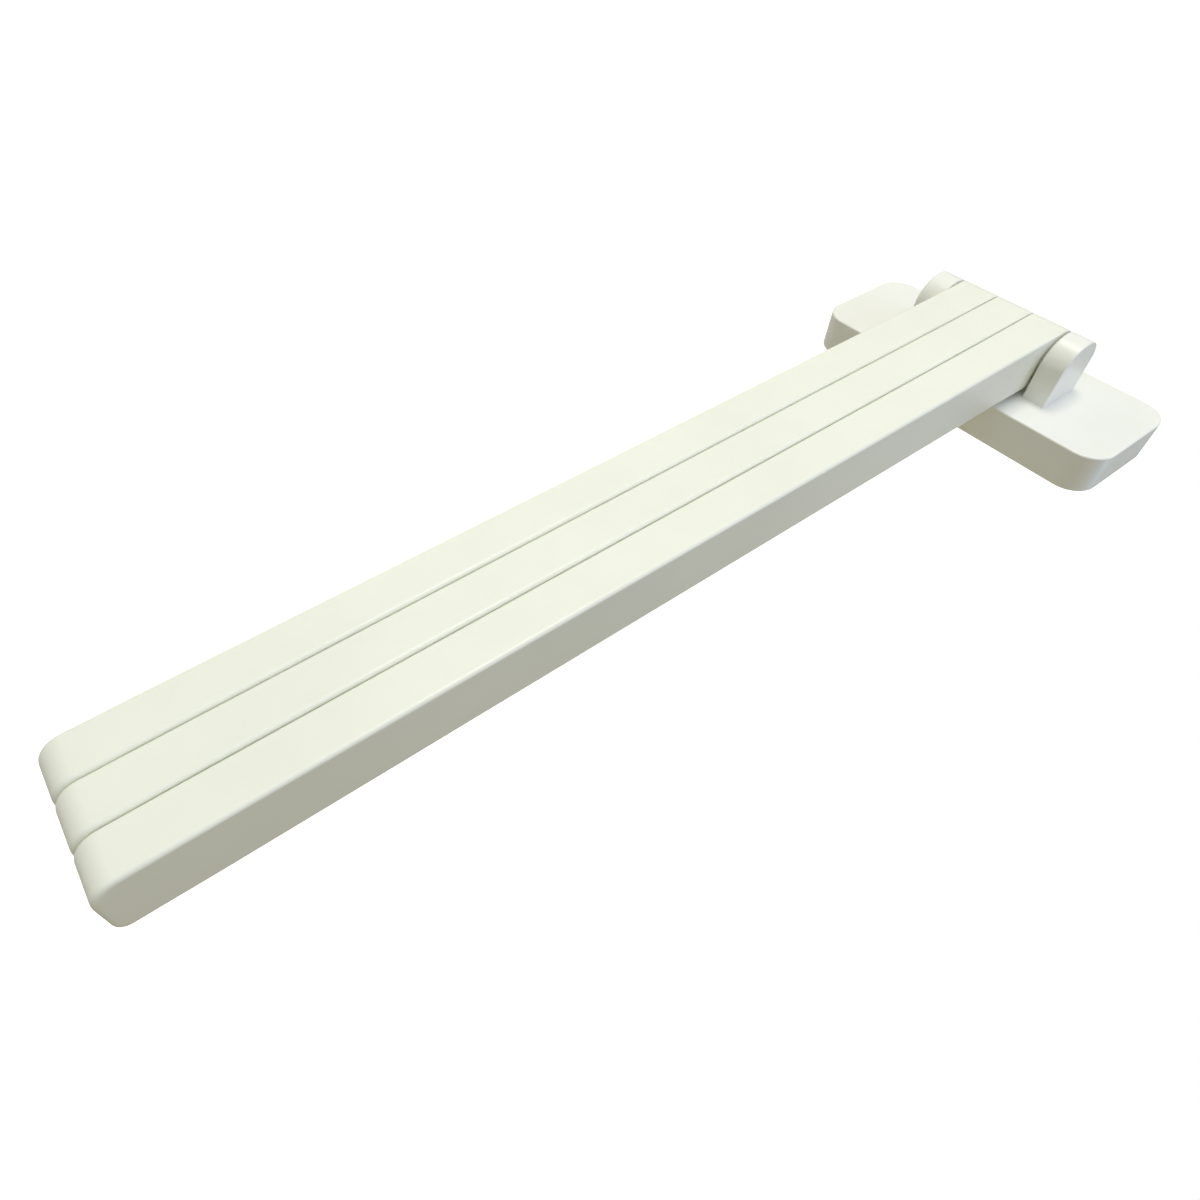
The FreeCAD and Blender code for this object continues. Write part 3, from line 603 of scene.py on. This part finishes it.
def finish_for(slot):
    """The material of one of the record's slots, made once."""
    tones = bpy.context.scene.rail_finishes
    made = bpy.data.materials.get(f"finish_{slot}")
    if made:
        return made
    makers = {
        "housing_plastic": lambda name: moulded_plastic(name, tones.housing, 0.36, 0.25),
        "arm_plastic": lambda name: moulded_plastic(name, tones.arm, 0.36, 0.25),
        "cover_plastic": lambda name: moulded_plastic(name, tones.cover, 0.52, 0.9),
        "bearing_plastic": lambda name: natural_plastic(name, tones.bearing),
        "bracket_steel": lambda name: rolled_sheet(name, tones.sheet),
        "screw_steel": lambda name: turned_metal(name, tones.screw, 0.3),
        "insert_brass": lambda name: turned_metal(name, tones.brass, 0.26),
    }
    return makers[slot](f"finish_{slot}")


# ------------------------------------------------------------------ wall housing


def shape_plate(bm, sizes):
    """The wall plate, drawn flat and raised to its front, with a rounded rim."""
    width = HOUSING_BOX[1].x - HOUSING_BOX[0].x
    height = HOUSING_BOX[1].z - HOUSING_BOX[0].z
    outline = draw_outline(bm, *rounded_rectangle(width, height, sizes.plate_corner))
    raise_outline(bm, outline, sizes.plate_depth)
    bevel(bm, [edge for edge in bm.edges if in_plane(edge, 2, sizes.plate_depth)], sizes.plate_edge)


def shape_ears(bm, sizes):
    """The two ears, raised from the plate's front, with their tops rounded over."""
    top = -HOUSING_BOX[0].y
    sides = [sign * side for sign in SIGNS for side in (EAR_INNER, EAR_OUTER)]
    front = slice_faces(bm, [largest(faces_at(bm, 2, sizes.plate_depth))], 1, sides)
    strips = [face for face in front if EAR_INNER < abs(face.calc_center_median().y) < EAR_OUTER]
    strips = slice_faces(bm, strips, 0, [sign * EAR_RADIUS for sign in SIGNS])
    feet = [face for face in strips if abs(face.calc_center_median().x) < EAR_RADIUS]
    raised = bmesh.ops.extrude_discrete_faces(bm, faces=feet)["faces"]
    rim = list({vert for face in raised for vert in face.verts})
    bmesh.ops.translate(bm, verts=rim, vec=(0, 0, top - sizes.plate_depth))
    edges = [edge for face in raised for edge in face.edges]
    shoulders = [edge for edge in edges if abs(edge.verts[0].co.x - edge.verts[1].co.x) < MERGE]
    bevel(bm, shoulders, EAR_RADIUS * CROWN_SHARE, ROUND_STEPS // 2)
    crown = [vert for vert in bm.verts if abs(vert.co.z - top) < FLAT]
    bmesh.ops.remove_doubles(bm, verts=crown, dist=2 * MERGE)
    flanks = [edge for edge in bm.edges if any(in_plane(edge, 1, side) for side in sides)]
    above = sizes.plate_depth + MERGE
    outline = [edge for edge in flanks if max(vert.co.z for vert in edge.verts) > above]
    bevel(bm, outline, sizes.ear_edge)


def by_ear(vert):
    """True for a point at an ear's foot."""
    return abs(vert.co.x) < EAR_RADIUS + MERGE and EAR_INNER - MERGE < abs(vert.co.y) < EAR_OUTER + MERGE


def round_ear_roots(bm, sizes):
    """The fillet all round each ear's foot."""
    level = [edge for edge in bm.edges if in_plane(edge, 2, sizes.plate_depth)]
    feet = [edge for edge in level if len(edge.link_faces) == 2 and all(map(by_ear, edge.verts))]
    bevel(bm, [edge for edge in feet if edge.calc_face_angle() > SMOOTH_ANGLE], sizes.ear_root)


def hollow_plate(bm, sizes):
    """The space behind the plate's front, open to the wall."""
    back = largest(faces_at(bm, 2, 0))
    bmesh.ops.inset_region(bm, faces=[back], thickness=sizes.moulding_wall, use_even_offset=True)
    floor = largest(faces_at(bm, 2, 0))
    sunk = bmesh.ops.extrude_discrete_faces(bm, faces=[floor])["faces"]
    bmesh.ops.translate(bm, verts=sunk[0].verts, vec=(0, 0, sizes.plate_depth - sizes.moulding_wall))
    mouth = [edge for edge in bm.edges if in_plane(edge, 2, 0)]
    bevel(bm, mouth, MOUTH_EDGE, 2)


def bore_housing(bm, sizes):
    """The bolt's stepped hole, its insert's blind seat, the lock screw's hole and the ejector marks."""
    pivot = -PIVOT_Y
    outer = largest(faces_at(bm, 1, -EAR_OUTER))
    shoulder = cut_holes(bm, outer, [(0, -EAR_OUTER, pivot)], sizes.bore_radius, sizes.bore_depth)[0]
    inner = largest(faces_at(bm, 1, -EAR_INNER))
    bore_through(bm, shoulder, inner, (0, 0, pivot), sizes.shank_radius, 1)
    seat = largest(faces_at(bm, 1, EAR_INNER))
    cut_holes(bm, seat, [(0, EAR_INNER, pivot)], sizes.insert_radius, sizes.insert_depth)
    end = HOUSING_BOX[0].z
    walls = [largest(faces_at(bm, 1, place)) for place in (end, end + sizes.moulding_wall)]
    bore_through(bm, *walls, (0, 0, sizes.lock_offset), sizes.lock_radius, 1)
    ceiling = largest(faces_at(bm, 2, sizes.plate_depth - sizes.moulding_wall))
    height = ceiling.calc_center_median().z
    across, up = sizes.mark_across, sizes.mark_spacing
    marks = [(side * across, place * up, height) for side in SIGNS for place in (-1, 0, 1)]
    cut_holes(bm, ceiling, marks, sizes.mark_radius, -sizes.mark_depth)


def add_brace(bm, sizes, across, up):
    """One of the two ribs behind each ear, along the plate."""
    x = across * sizes.brace_offset
    y = up * (EAR_INNER + EAR_OUTER) / 2
    inside = sizes.plate_depth - sizes.moulding_wall
    half_width, half_length = sizes.brace_thickness / 2, sizes.brace_length / 2
    low = (x - half_width, y - half_length, inside - sizes.brace_depth)
    add_block(bm, low, (x + half_width, y + half_length, inside + OVERLAP), RIB_EDGE)


def add_hook(bm, sizes, across, up):
    """One of the four hooks on the side walls, which go behind the bracket's tabs."""
    side = HOUSING_BOX[1].x - sizes.moulding_wall
    near, far = sorted((across * (side + OVERLAP), across * (side - sizes.hook_reach)))
    y, half = up * sizes.tab_spacing / 2, sizes.tab_length / 2
    low = (near, y - half, sizes.hook_offset)
    add_block(bm, low, (far, y + half, sizes.hook_offset + sizes.hook_thickness), RIB_EDGE)


def add_boss(bm, sizes):
    """The lock screw's boss on the lower wall, bored in two steps."""
    floor = HOUSING_BOX[1].z - sizes.moulding_wall
    bore, seat, outer = sizes.boss_bore, sizes.boss_seat, sizes.boss_radius
    tall, step = sizes.boss_height, sizes.boss_step
    rim = [(radius, tall - height) for radius, height in reversed(quarter_round(outer, sizes.cover_edge))]
    profile = [(bore, -OVERLAP), (outer, -OVERLAP), *rim, (seat, tall), (seat, step), (bore, step)]
    lathe(bm, profile, Matrix.Translation((0, -floor, sizes.lock_offset)) @ FRONT_TO_WALL)


class RAIL_OT_wall_housing(bpy.types.Operator):
    """Mould the wall plate with its two ears"""

    bl_idname = "towel_rail.wall_housing"
    bl_label = "Wall housing"

    def execute(self, context):
        sizes = context.scene.rail_sizes
        bm = bmesh.new()
        shape_plate(bm, sizes)
        shape_ears(bm, sizes)
        round_ear_roots(bm, sizes)
        hollow_plate(bm, sizes)
        bore_housing(bm, sizes)
        for across in SIGNS:
            for up in SIGNS:
                add_brace(bm, sizes, across, up)
                add_hook(bm, sizes, across, up)
        add_boss(bm, sizes)
        bmesh.ops.transform(bm, matrix=WALL_TO_FRONT, verts=bm.verts)
        make_piece(bm, "wall_housing_moulding", "wall_base", "housing_plastic", ["wall_housing"])
        return {"FINISHED"}


# ------------------------------------------------------------------ arms


def arm_outline(sizes):
    """Start and moves of an arm seen from above, about its pivot. Its long sides are cut into steps."""
    reach = ARM_BOX[1].x
    front, back = sizes.tip_front, sizes.tip_back
    shares = [step / LONG_STEPS for step in range(1, LONG_STEPS + 1)]
    return (0, EAR_RADIUS), [
        ((0, 0), 2 * QUARTER),
        *[((share * (reach - front), -EAR_RADIUS), 0) for share in shares],
        ((reach - front, front - EAR_RADIUS), QUARTER),
        ((reach, EAR_RADIUS - back), 0),
        ((reach - back, EAR_RADIUS - back), QUARTER),
        *[(((1 - share) * (reach - back), EAR_RADIUS), 0) for share in shares[:-1]],
    ]


def ease(low, high, place):
    """A smooth rise from 0 to 1 between two places."""
    share = min(1, max(0, (place - low) / (high - low)))
    return share * share * (3 - 2 * share)


def round_by_weight(bm, width, width_at):
    """Round the top and bottom rims, each edge by its own width, up to the widest."""
    layer = bm.edges.layers.float.new("bevel_weight_edge")
    for edge in bm.edges:
        level = in_plane(edge, 2, edge.verts[0].co.z)
        edge[layer] = width_at(edge) / width if level else 0
    mesh = bpy.data.meshes.new("draft")
    bm.to_mesh(mesh)
    draft = bpy.data.objects.new("draft", mesh)
    bpy.context.scene.collection.objects.link(draft)
    rounding = draft.modifiers.new("rims", "BEVEL")
    rounding.limit_method = "WEIGHT"
    rounding.width = width
    rounding.segments = 4
    rounded = bpy.data.meshes.new_from_object(draft.evaluated_get(bpy.context.evaluated_depsgraph_get()))
    bm.clear()
    bm.from_mesh(rounded)
    bpy.data.objects.remove(draft)
    for used in (mesh, rounded):
        bpy.data.meshes.remove(used)


def arm_rounding(sizes, edge):
    """The rounding of an arm's rim at an edge: least round the pivot end and most round the tip."""
    reach = ARM_BOX[1].x
    x = (edge.verts[0].co.x + edge.verts[1].co.x) / 2
    growth = ease(0, 3 * EAR_RADIUS, x) * (sizes.arm_edge - sizes.hub_edge)
    growth += ease(reach - 3 * sizes.tip_front, reach, x) * (sizes.tip_edge - sizes.arm_edge)
    return sizes.hub_edge + growth


def shape_arm(sizes):
    """One arm about its pivot at the origin: a flat bar, rounded, bored and hollowed from the back."""
    bm = bmesh.new()
    outline = draw_outline(bm, *arm_outline(sizes))
    raise_outline(bm, outline, ARM_HEIGHT)
    bmesh.ops.translate(bm, verts=bm.verts, vec=(0, 0, -ARM_HEIGHT / 2))
    round_by_weight(bm, sizes.tip_edge, lambda edge: arm_rounding(sizes, edge))
    far = ARM_BOX[1].x - sizes.tip_back - sizes.arm_wall
    half = ARM_HEIGHT / 2 - sizes.arm_wall
    back = bmesh.ops.dissolve_faces(bm, faces=faces_at(bm, 1, EAR_RADIUS))["region"]
    back = slice_faces(bm, back, 0, [sizes.channel_start, far])
    middle = face_in(back, (sizes.channel_start, None, None), (far, None, None))
    middle = slice_faces(bm, middle, 2, [-half, half])
    mouth = face_in(middle, (None, None, -half), (None, None, half))
    sunk = bmesh.ops.extrude_discrete_faces(bm, faces=mouth)["faces"]
    depth = 2 * EAR_RADIUS - sizes.arm_wall
    bmesh.ops.translate(bm, verts=sunk[0].verts, vec=(0, -depth, 0))
    ends = [largest(faces_at(bm, 2, sign * ARM_HEIGHT / 2)) for sign in SIGNS]
    bore_through(bm, *ends, (0, 0, 0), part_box("pivot_bush_middle")[1].x, 2)
    pitch = (far - sizes.channel_start) / (sizes.ribs + 1)
    rest = COVER_BOX[1].y - PIVOT_Y - sizes.cover_thickness
    for rib in range(1, sizes.ribs + 1):
        x = sizes.channel_start + rib * pitch
        low = (x - sizes.rib_thickness / 2, sizes.arm_wall - EAR_RADIUS - OVERLAP, -half - OVERLAP)
        add_block(bm, low, (x + sizes.rib_thickness / 2, rest, half + OVERLAP))
    return bm


class RAIL_OT_arm_shells(bpy.types.Operator):
    """Mould the three equal arms"""

    bl_idname = "towel_rail.arm_shells"
    bl_label = "Arm shells"

    def execute(self, context):
        for name in ARMS:
            node = f"arm_shell_{name}"
            low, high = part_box(node)
            bm = shape_arm(context.scene.rail_sizes)
            bmesh.ops.translate(bm, verts=bm.verts, vec=(0, PIVOT_Y, (low.z + high.z) / 2))
            make_piece(bm, f"arm_{name}_moulding", f"{name}_arm", "arm_plastic", [node])
        return {"FINISHED"}


def add_leg(bm, sizes, middle, side, root):
    """One snap leg of a back cover, with the bead at its end. The root is the leg's outer face."""
    near, far = middle - sizes.leg_length / 2, middle + sizes.leg_length / 2
    start, end = sizes.cover_thickness - OVERLAP, sizes.leg_end
    low, high = sorted((side * root, side * (root - sizes.leg_thickness)))
    add_block(bm, (near, low, start), (far, high, end), FINE_EDGE)
    low, high = sorted((side * (root - sizes.snap_root), side * (root + sizes.snap_reach)))
    add_block(bm, (near, low, end - sizes.snap_width), (far, high, end), FINE_EDGE)


def shape_cover(sizes):
    """One back cover, drawn with its outer face down: a strip with a thumbnail notch and snap legs."""
    start, stop = COVER_BOX[0].x, COVER_BOX[1].x
    half = ARM_HEIGHT / 2 - sizes.arm_wall - sizes.cover_fit
    moves = [
        ((stop, -half), 0),
        ((stop, -sizes.notch_radius), 0),
        ((stop, 0), -2 * QUARTER),
        ((stop, half), 0),
        ((start, half), 0),
    ]
    bm = bmesh.new()
    raise_outline(bm, draw_outline(bm, (start, -half), moves), sizes.cover_thickness)
    bevel(bm, [edge for edge in bm.edges if in_plane(edge, 2, 0)], sizes.cover_edge, 2)
    bays = sizes.ribs + 1
    pitch = (stop - start + 2 * sizes.cover_fit) / bays
    for bay in range(bays):
        for side in SIGNS:
            add_leg(bm, sizes, start - sizes.cover_fit + pitch * (bay + 0.5), side, half)
    bmesh.ops.transform(bm, matrix=WALL_TO_FRONT, verts=bm.verts)
    return bm


class RAIL_OT_back_covers(bpy.types.Operator):
    """Mould the strips that close the arms on the wall side"""

    bl_idname = "towel_rail.back_covers"
    bl_label = "Back covers"

    def execute(self, context):
        for name in ARMS:
            node = f"arm_back_cover_{name}"
            low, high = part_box(node)
            bm = shape_cover(context.scene.rail_sizes)
            bmesh.ops.translate(bm, verts=bm.verts, vec=(0, high.y, (low.z + high.z) / 2))
            make_piece(bm, f"back_cover_{name}_moulding", f"{name}_arm", "cover_plastic", [node])
        return {"FINISHED"}


# ------------------------------------------------------------------ pivot


class RAIL_OT_pivot_cap(bpy.types.Operator):
    """Mould the flush cap over the bolt's head"""

    bl_idname = "towel_rail.pivot_cap"
    bl_label = "Pivot cap"

    def execute(self, context):
        sizes = context.scene.rail_sizes
        low, high = CAP_BOX
        outer = high.x
        tall = high.z - low.z
        skirt, disc = sizes.cap_skirt, sizes.cap_disc
        rim = quarter_round(outer, sizes.cover_edge)
        profile = [(0, 0), *rim, (outer, tall), (skirt, tall), (skirt, disc), (0, disc)]
        bm = bmesh.new()
        lathe(bm, profile, Matrix.Translation((0, PIVOT_Y, low.z)))
        make_piece(bm, "pivot_cap_moulding", "wall_base", "housing_plastic", ["pivot_cap"])
        return {"FINISHED"}


def ring_profile(bore, outer, tall):
    """Profile points of a flat ring whose edges are broken."""
    edge = min(FINE_EDGE, tall / 4)
    return [
        (bore + edge, 0),
        (outer - edge, 0),
        (outer, edge),
        (outer, tall - edge),
        (outer - edge, tall),
        (bore + edge, tall),
        (bore, tall - edge),
        (bore, edge),
    ]


class RAIL_OT_rings(bpy.types.Operator):
    """Turn the thrust washers and the pivot bushes"""

    bl_idname = "towel_rail.rings"
    bl_label = "Washers and bushes"

    def execute(self, context):
        sizes = context.scene.rail_sizes
        slot = "bearing_plastic"
        rings = {item["node"] for item in frame["record"]["subparts"] if item["material_slot"] == slot}
        for body, nodes in frame["record"]["behaviour"]["bodies"].items():
            for node in [node for node in nodes if node in rings]:
                low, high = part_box(node)
                bore = sizes.bush_bore if "bush" in node else sizes.shank_radius
                bm = bmesh.new()
                profile = ring_profile(bore, (high.x - low.x) / 2, high.z - low.z)
                lathe(bm, profile, Matrix.Translation((0, PIVOT_Y, low.z)))
                make_piece(bm, f"{node}_ring", body, slot, [node])
        return {"FINISHED"}


# ------------------------------------------------------------------ bracket and hidden hardware


def notched_side(sizes, side):
    """One long side of the web, let in where each tab's bend starts."""
    edge = sizes.web_width / 2
    root = edge - sizes.bend - sizes.sheet
    middle, half = sizes.tab_spacing / 2, sizes.tab_length / 2 + sizes.relief
    moves = []
    for low in (-middle - half, middle - half):
        high = low + 2 * half
        corners = ((edge, low), (root, low), (root, high), (edge, high))
        moves += [((side * x, side * y), 0) for x, y in corners]
    return moves


def shape_web(sizes):
    """The bracket's flat web, drawn flat: round corners, notches for the bends and two screw holes."""
    half, end, corner = sizes.web_width / 2, BRACKET_BOX[1].z, sizes.web_corner
    root = end - sizes.bend - sizes.sheet
    lip = sizes.lip_width / 2 + sizes.relief
    moves = [
        ((-lip, -end), 0),
        ((-lip, -root), 0),
        ((lip, -root), 0),
        ((lip, -end), 0),
        ((half - corner, -end), 0),
        ((half - corner, corner - end), QUARTER),
        *notched_side(sizes, 1),
        ((half, end - corner), 0),
        ((half - corner, end - corner), QUARTER),
        ((corner - half, end), 0),
        ((corner - half, end - corner), QUARTER),
        *notched_side(sizes, -1),
        ((-half, corner - end), 0),
        ((corner - half, corner - end), QUARTER),
    ]
    bm = bmesh.new()
    raise_outline(bm, draw_outline(bm, (corner - half, -end), moves), sizes.sheet)
    heights = (0, sizes.sheet)
    rims = [edge for edge in bm.edges if any(in_plane(edge, 2, height) for height in heights)]
    bevel(bm, rims, SHEET_EDGE, 2)
    loops = []
    for height in heights:
        face = largest(faces_at(bm, 2, height))
        centres = [(0, side * sizes.screw_spacing / 2, height) for side in SIGNS]
        loops += cut_holes(bm, face, centres, sizes.screw_hole, height, floor=False)
    merge_loops(bm, loops)
    return bm


def add_tabs(bm, sizes):
    """Four tabs, each joggled forward off the web's edge so that a hook slides behind it."""
    sheet, bend = sizes.sheet, sizes.bend
    outside = bend + sheet
    reach, step = BRACKET_BOX[1].x, sizes.tab_step
    riser = sizes.web_width / 2
    root = riser - outside
    sunk = root - sizes.fold_root
    turn = riser + bend
    moves = [
        ((root, 0), 0),
        ((root, outside), QUARTER),
        ((riser, step - bend), 0),
        ((turn, step - bend), -QUARTER),
        ((reach, step), 0),
        ((reach, step + sheet), 0),
        ((turn, step + sheet), 0),
        ((turn, step - bend), QUARTER),
        ((riser - sheet, outside), 0),
        ((root, outside), -QUARTER),
        ((sunk, sheet - OVERLAP), 0),
    ]
    for across in SIGNS:
        for up in SIGNS:
            height = up * sizes.tab_spacing / 2
            place = Matrix.Translation((0, 0, height)) @ Matrix.Diagonal((across, -1, 1, 1))
            add_section(bm, (sunk, OVERLAP), moves, sizes.tab_length, place)


def add_lip(bm, sizes):
    """The lower lip, folded forward, that the lock screw bears on."""
    sheet = sizes.sheet
    outside = sizes.bend + sheet
    end, front = BRACKET_BOX[1].z, -BRACKET_BOX[0].y
    root = end - outside
    sunk = root - sizes.fold_root
    moves = [
        ((root, 0), 0),
        ((root, outside), QUARTER),
        ((end, front), 0),
        ((end - sheet, front), 0),
        ((end - sheet, outside), 0),
        ((root, outside), -QUARTER),
        ((sunk, sheet - OVERLAP), 0),
    ]
    place = Matrix.Rotation(QUARTER, 4, "Y") @ Matrix.Diagonal((1, -1, 1, 1))
    add_section(bm, (sunk, OVERLAP), moves, sizes.lip_width, place)


class RAIL_OT_wall_bracket(bpy.types.Operator):
    """Press the steel bracket that the housing hooks onto"""

    bl_idname = "towel_rail.wall_bracket"
    bl_label = "Wall bracket"

    def execute(self, context):
        sizes = context.scene.rail_sizes
        bm = shape_web(sizes)
        bmesh.ops.transform(bm, matrix=WALL_TO_FRONT, verts=bm.verts)
        add_tabs(bm, sizes)
        add_lip(bm, sizes)
        make_piece(bm, "wall_bracket_pressing", "wall_base", "bracket_steel", ["wall_bracket"])
        return {"FINISHED"}


class RAIL_OT_hardware_finish(bpy.types.Operator):
    """Give the bolt, its washer, the lock screw and the inserts their turned-metal finishes"""

    bl_idname = "towel_rail.hardware_finish"
    bl_label = "Hardware finish"

    def execute(self, context):
        for item in frame["record"]["subparts"]:
            if item["material_slot"] in ("screw_steel", "insert_brass"):
                for holder in frame["nodes"][item["node"]].material_slots:
                    holder.material = finish_for(item["material_slot"])
        return {"FINISHED"}


# ------------------------------------------------------------------ stage


def make_world(stage):
    """White to the camera. It lights the rail warmly from all round, and brightly from in front."""
    world = bpy.data.worlds.new("studio")
    world.use_nodes = True
    tree = world.node_tree
    tree.nodes.clear()
    seen = add_node(tree, "ShaderNodeLightPath").outputs["Is Camera Ray"]
    sky = add_node(tree, "ShaderNodeTexCoord").outputs["Generated"]
    depth = add_node(tree, "ShaderNodeSeparateXYZ", {"Vector": sky}).outputs["Y"]
    ahead = add_node(tree, "ShaderNodeMapRange", {"Value": depth, "From Min": 0.0, "From Max": -1.0})
    tone = tint(tree, ahead.outputs["Result"], stage.around, stage.front)
    lit = add_node(tree, "ShaderNodeBackground", {"Color": tone, "Strength": 1.0})
    white = add_node(tree, "ShaderNodeBackground", {"Color": (1, 1, 1, 1), "Strength": 1.0})
    mix = add_node(tree, "ShaderNodeMixShader", {0: seen, 1: lit.outputs[0], 2: white.outputs[0]})
    out = add_node(tree, "ShaderNodeOutputWorld")
    tree.links.new(mix.outputs[0], out.inputs["Surface"])
    bpy.context.scene.world = world


def make_floor(stage):
    """A pale floor well below the rail, which looks as white as the studio behind it."""
    bm = bmesh.new()
    bmesh.ops.create_grid(bm, x_segments=1, y_segments=1, size=stage.floor_size / 2)
    mesh = bpy.data.meshes.new("studio_floor")
    bmesh.ops.translate(bm, verts=bm.verts, vec=(0, 0, -stage.floor_drop))
    bm.to_mesh(mesh)
    bm.free()
    floor = bpy.data.objects.new("studio_floor", mesh)
    bpy.context.scene.collection.objects.link(floor)
    material, tree, shader = new_material("pale_floor")
    seen = add_node(tree, "ShaderNodeLightPath").outputs["Is Camera Ray"]
    shader.inputs["Base Color"].default_value = (*stage.pale, 1)
    shader.inputs["Roughness"].default_value = 0.9
    lift = add_node(tree, "ShaderNodeMath", {0: seen, 1: stage.floor_lift}, operation="MULTIPLY")
    tree.links.new(lift.outputs[0], shader.inputs["Emission Strength"])
    shader.inputs["Emission Color"].default_value = (1, 1, 1, 1)
    mesh.materials.append(material)


def add_lamp(name, place, aim, size, watts, tone=(1, 1, 1)):
    """A soft square lamp that isn't seen itself."""
    light = bpy.data.lights.new(name, "AREA")
    light.shape = "SQUARE"
    light.size = size
    light.energy = watts
    light.color = tone
    lamp = bpy.data.objects.new(name, light)
    bpy.context.scene.collection.objects.link(lamp)
    lamp.location = place
    lamp.rotation_euler = (Vector(aim) - Vector(place)).to_track_quat("-Z", "Y").to_euler()
    lamp.visible_camera = False


def make_camera(stage):
    """The camera that the scene is seen through."""
    data = bpy.data.cameras.new("camera")
    data.lens = stage.camera_lens
    data.sensor_width = 36
    data.shift_x, data.shift_y = stage.camera_shift
    data.clip_start = 0.01
    camera = bpy.data.objects.new("camera", data)
    camera.location = stage.camera_place
    camera.rotation_euler = stage.camera_turn
    bpy.context.scene.collection.objects.link(camera)
    bpy.context.scene.camera = camera


class RAIL_OT_studio(bpy.types.Operator):
    """Set up the pale floor, the soft lights and the camera"""

    bl_idname = "towel_rail.studio"
    bl_label = "Studio"

    def execute(self, context):
        stage = context.scene.rail_stage
        middle = ((CAD_BOX[0] + CAD_BOX[1]) / 2)[:]
        make_world(stage)
        make_floor(stage)
        add_lamp("key", (-0.10, -1.3, -0.15), middle, 0.4, stage.key_power, stage.key_tone)
        add_lamp("side", (-0.35, -0.3, 0.75), (0.05, 0, 0), 0.5, stage.side_power, stage.side_tone)
        add_lamp("edge", (-0.15, 0.1, 0.3), (0.1, -0.03, 0.02), 0.15, stage.edge_power, stage.edge_tone)
        add_lamp("back", (-0.6, 1.2, -0.3), middle, 1.4, stage.back_power)
        make_camera(stage)
        context.scene.view_settings.view_transform = "Standard"
        return {"FINISHED"}


# ------------------------------------------------------------------ add-on


OPERATORS = (
    RAIL_OT_wall_housing,
    RAIL_OT_arm_shells,
    RAIL_OT_back_covers,
    RAIL_OT_pivot_cap,
    RAIL_OT_rings,
    RAIL_OT_wall_bracket,
    RAIL_OT_hardware_finish,
    RAIL_OT_studio,
)


class RAIL_PT_panel(bpy.types.Panel):
    """Steps that build the towel rail"""

    bl_idname = "RAIL_PT_panel"
    bl_label = "Towel rail"
    bl_space_type = "VIEW_3D"
    bl_region_type = "UI"
    bl_category = "Towel rail"

    def draw(self, context):
        for operator in OPERATORS:
            self.layout.operator(operator.bl_idname)
        for group in (context.scene.rail_sizes, context.scene.rail_finishes, context.scene.rail_stage):
            box = self.layout.box()
            for name in group.__annotations__:
                box.prop(group, name)


CLASSES = (RailSizes, RailFinishes, RailStage, *OPERATORS, RAIL_PT_panel)


def register():
    """Add the classes and the scene's three groups of settings."""
    for item in CLASSES:
        bpy.utils.register_class(item)
    bpy.types.Scene.rail_sizes = PointerProperty(type=RailSizes)
    bpy.types.Scene.rail_finishes = PointerProperty(type=RailFinishes)
    bpy.types.Scene.rail_stage = PointerProperty(type=RailStage)


def unregister():
    """Take the settings and the classes away again."""
    for name in ("rail_sizes", "rail_finishes", "rail_stage"):
        delattr(bpy.types.Scene, name)
    for item in reversed(CLASSES):
        bpy.utils.unregister_class(item)


def main():
    """Build every piece and the studio."""
    register()
    for operator in OPERATORS:
        group, name = operator.bl_idname.split(".")
        getattr(getattr(bpy.ops, group), name)()


if __name__ == "__main__":
    main()
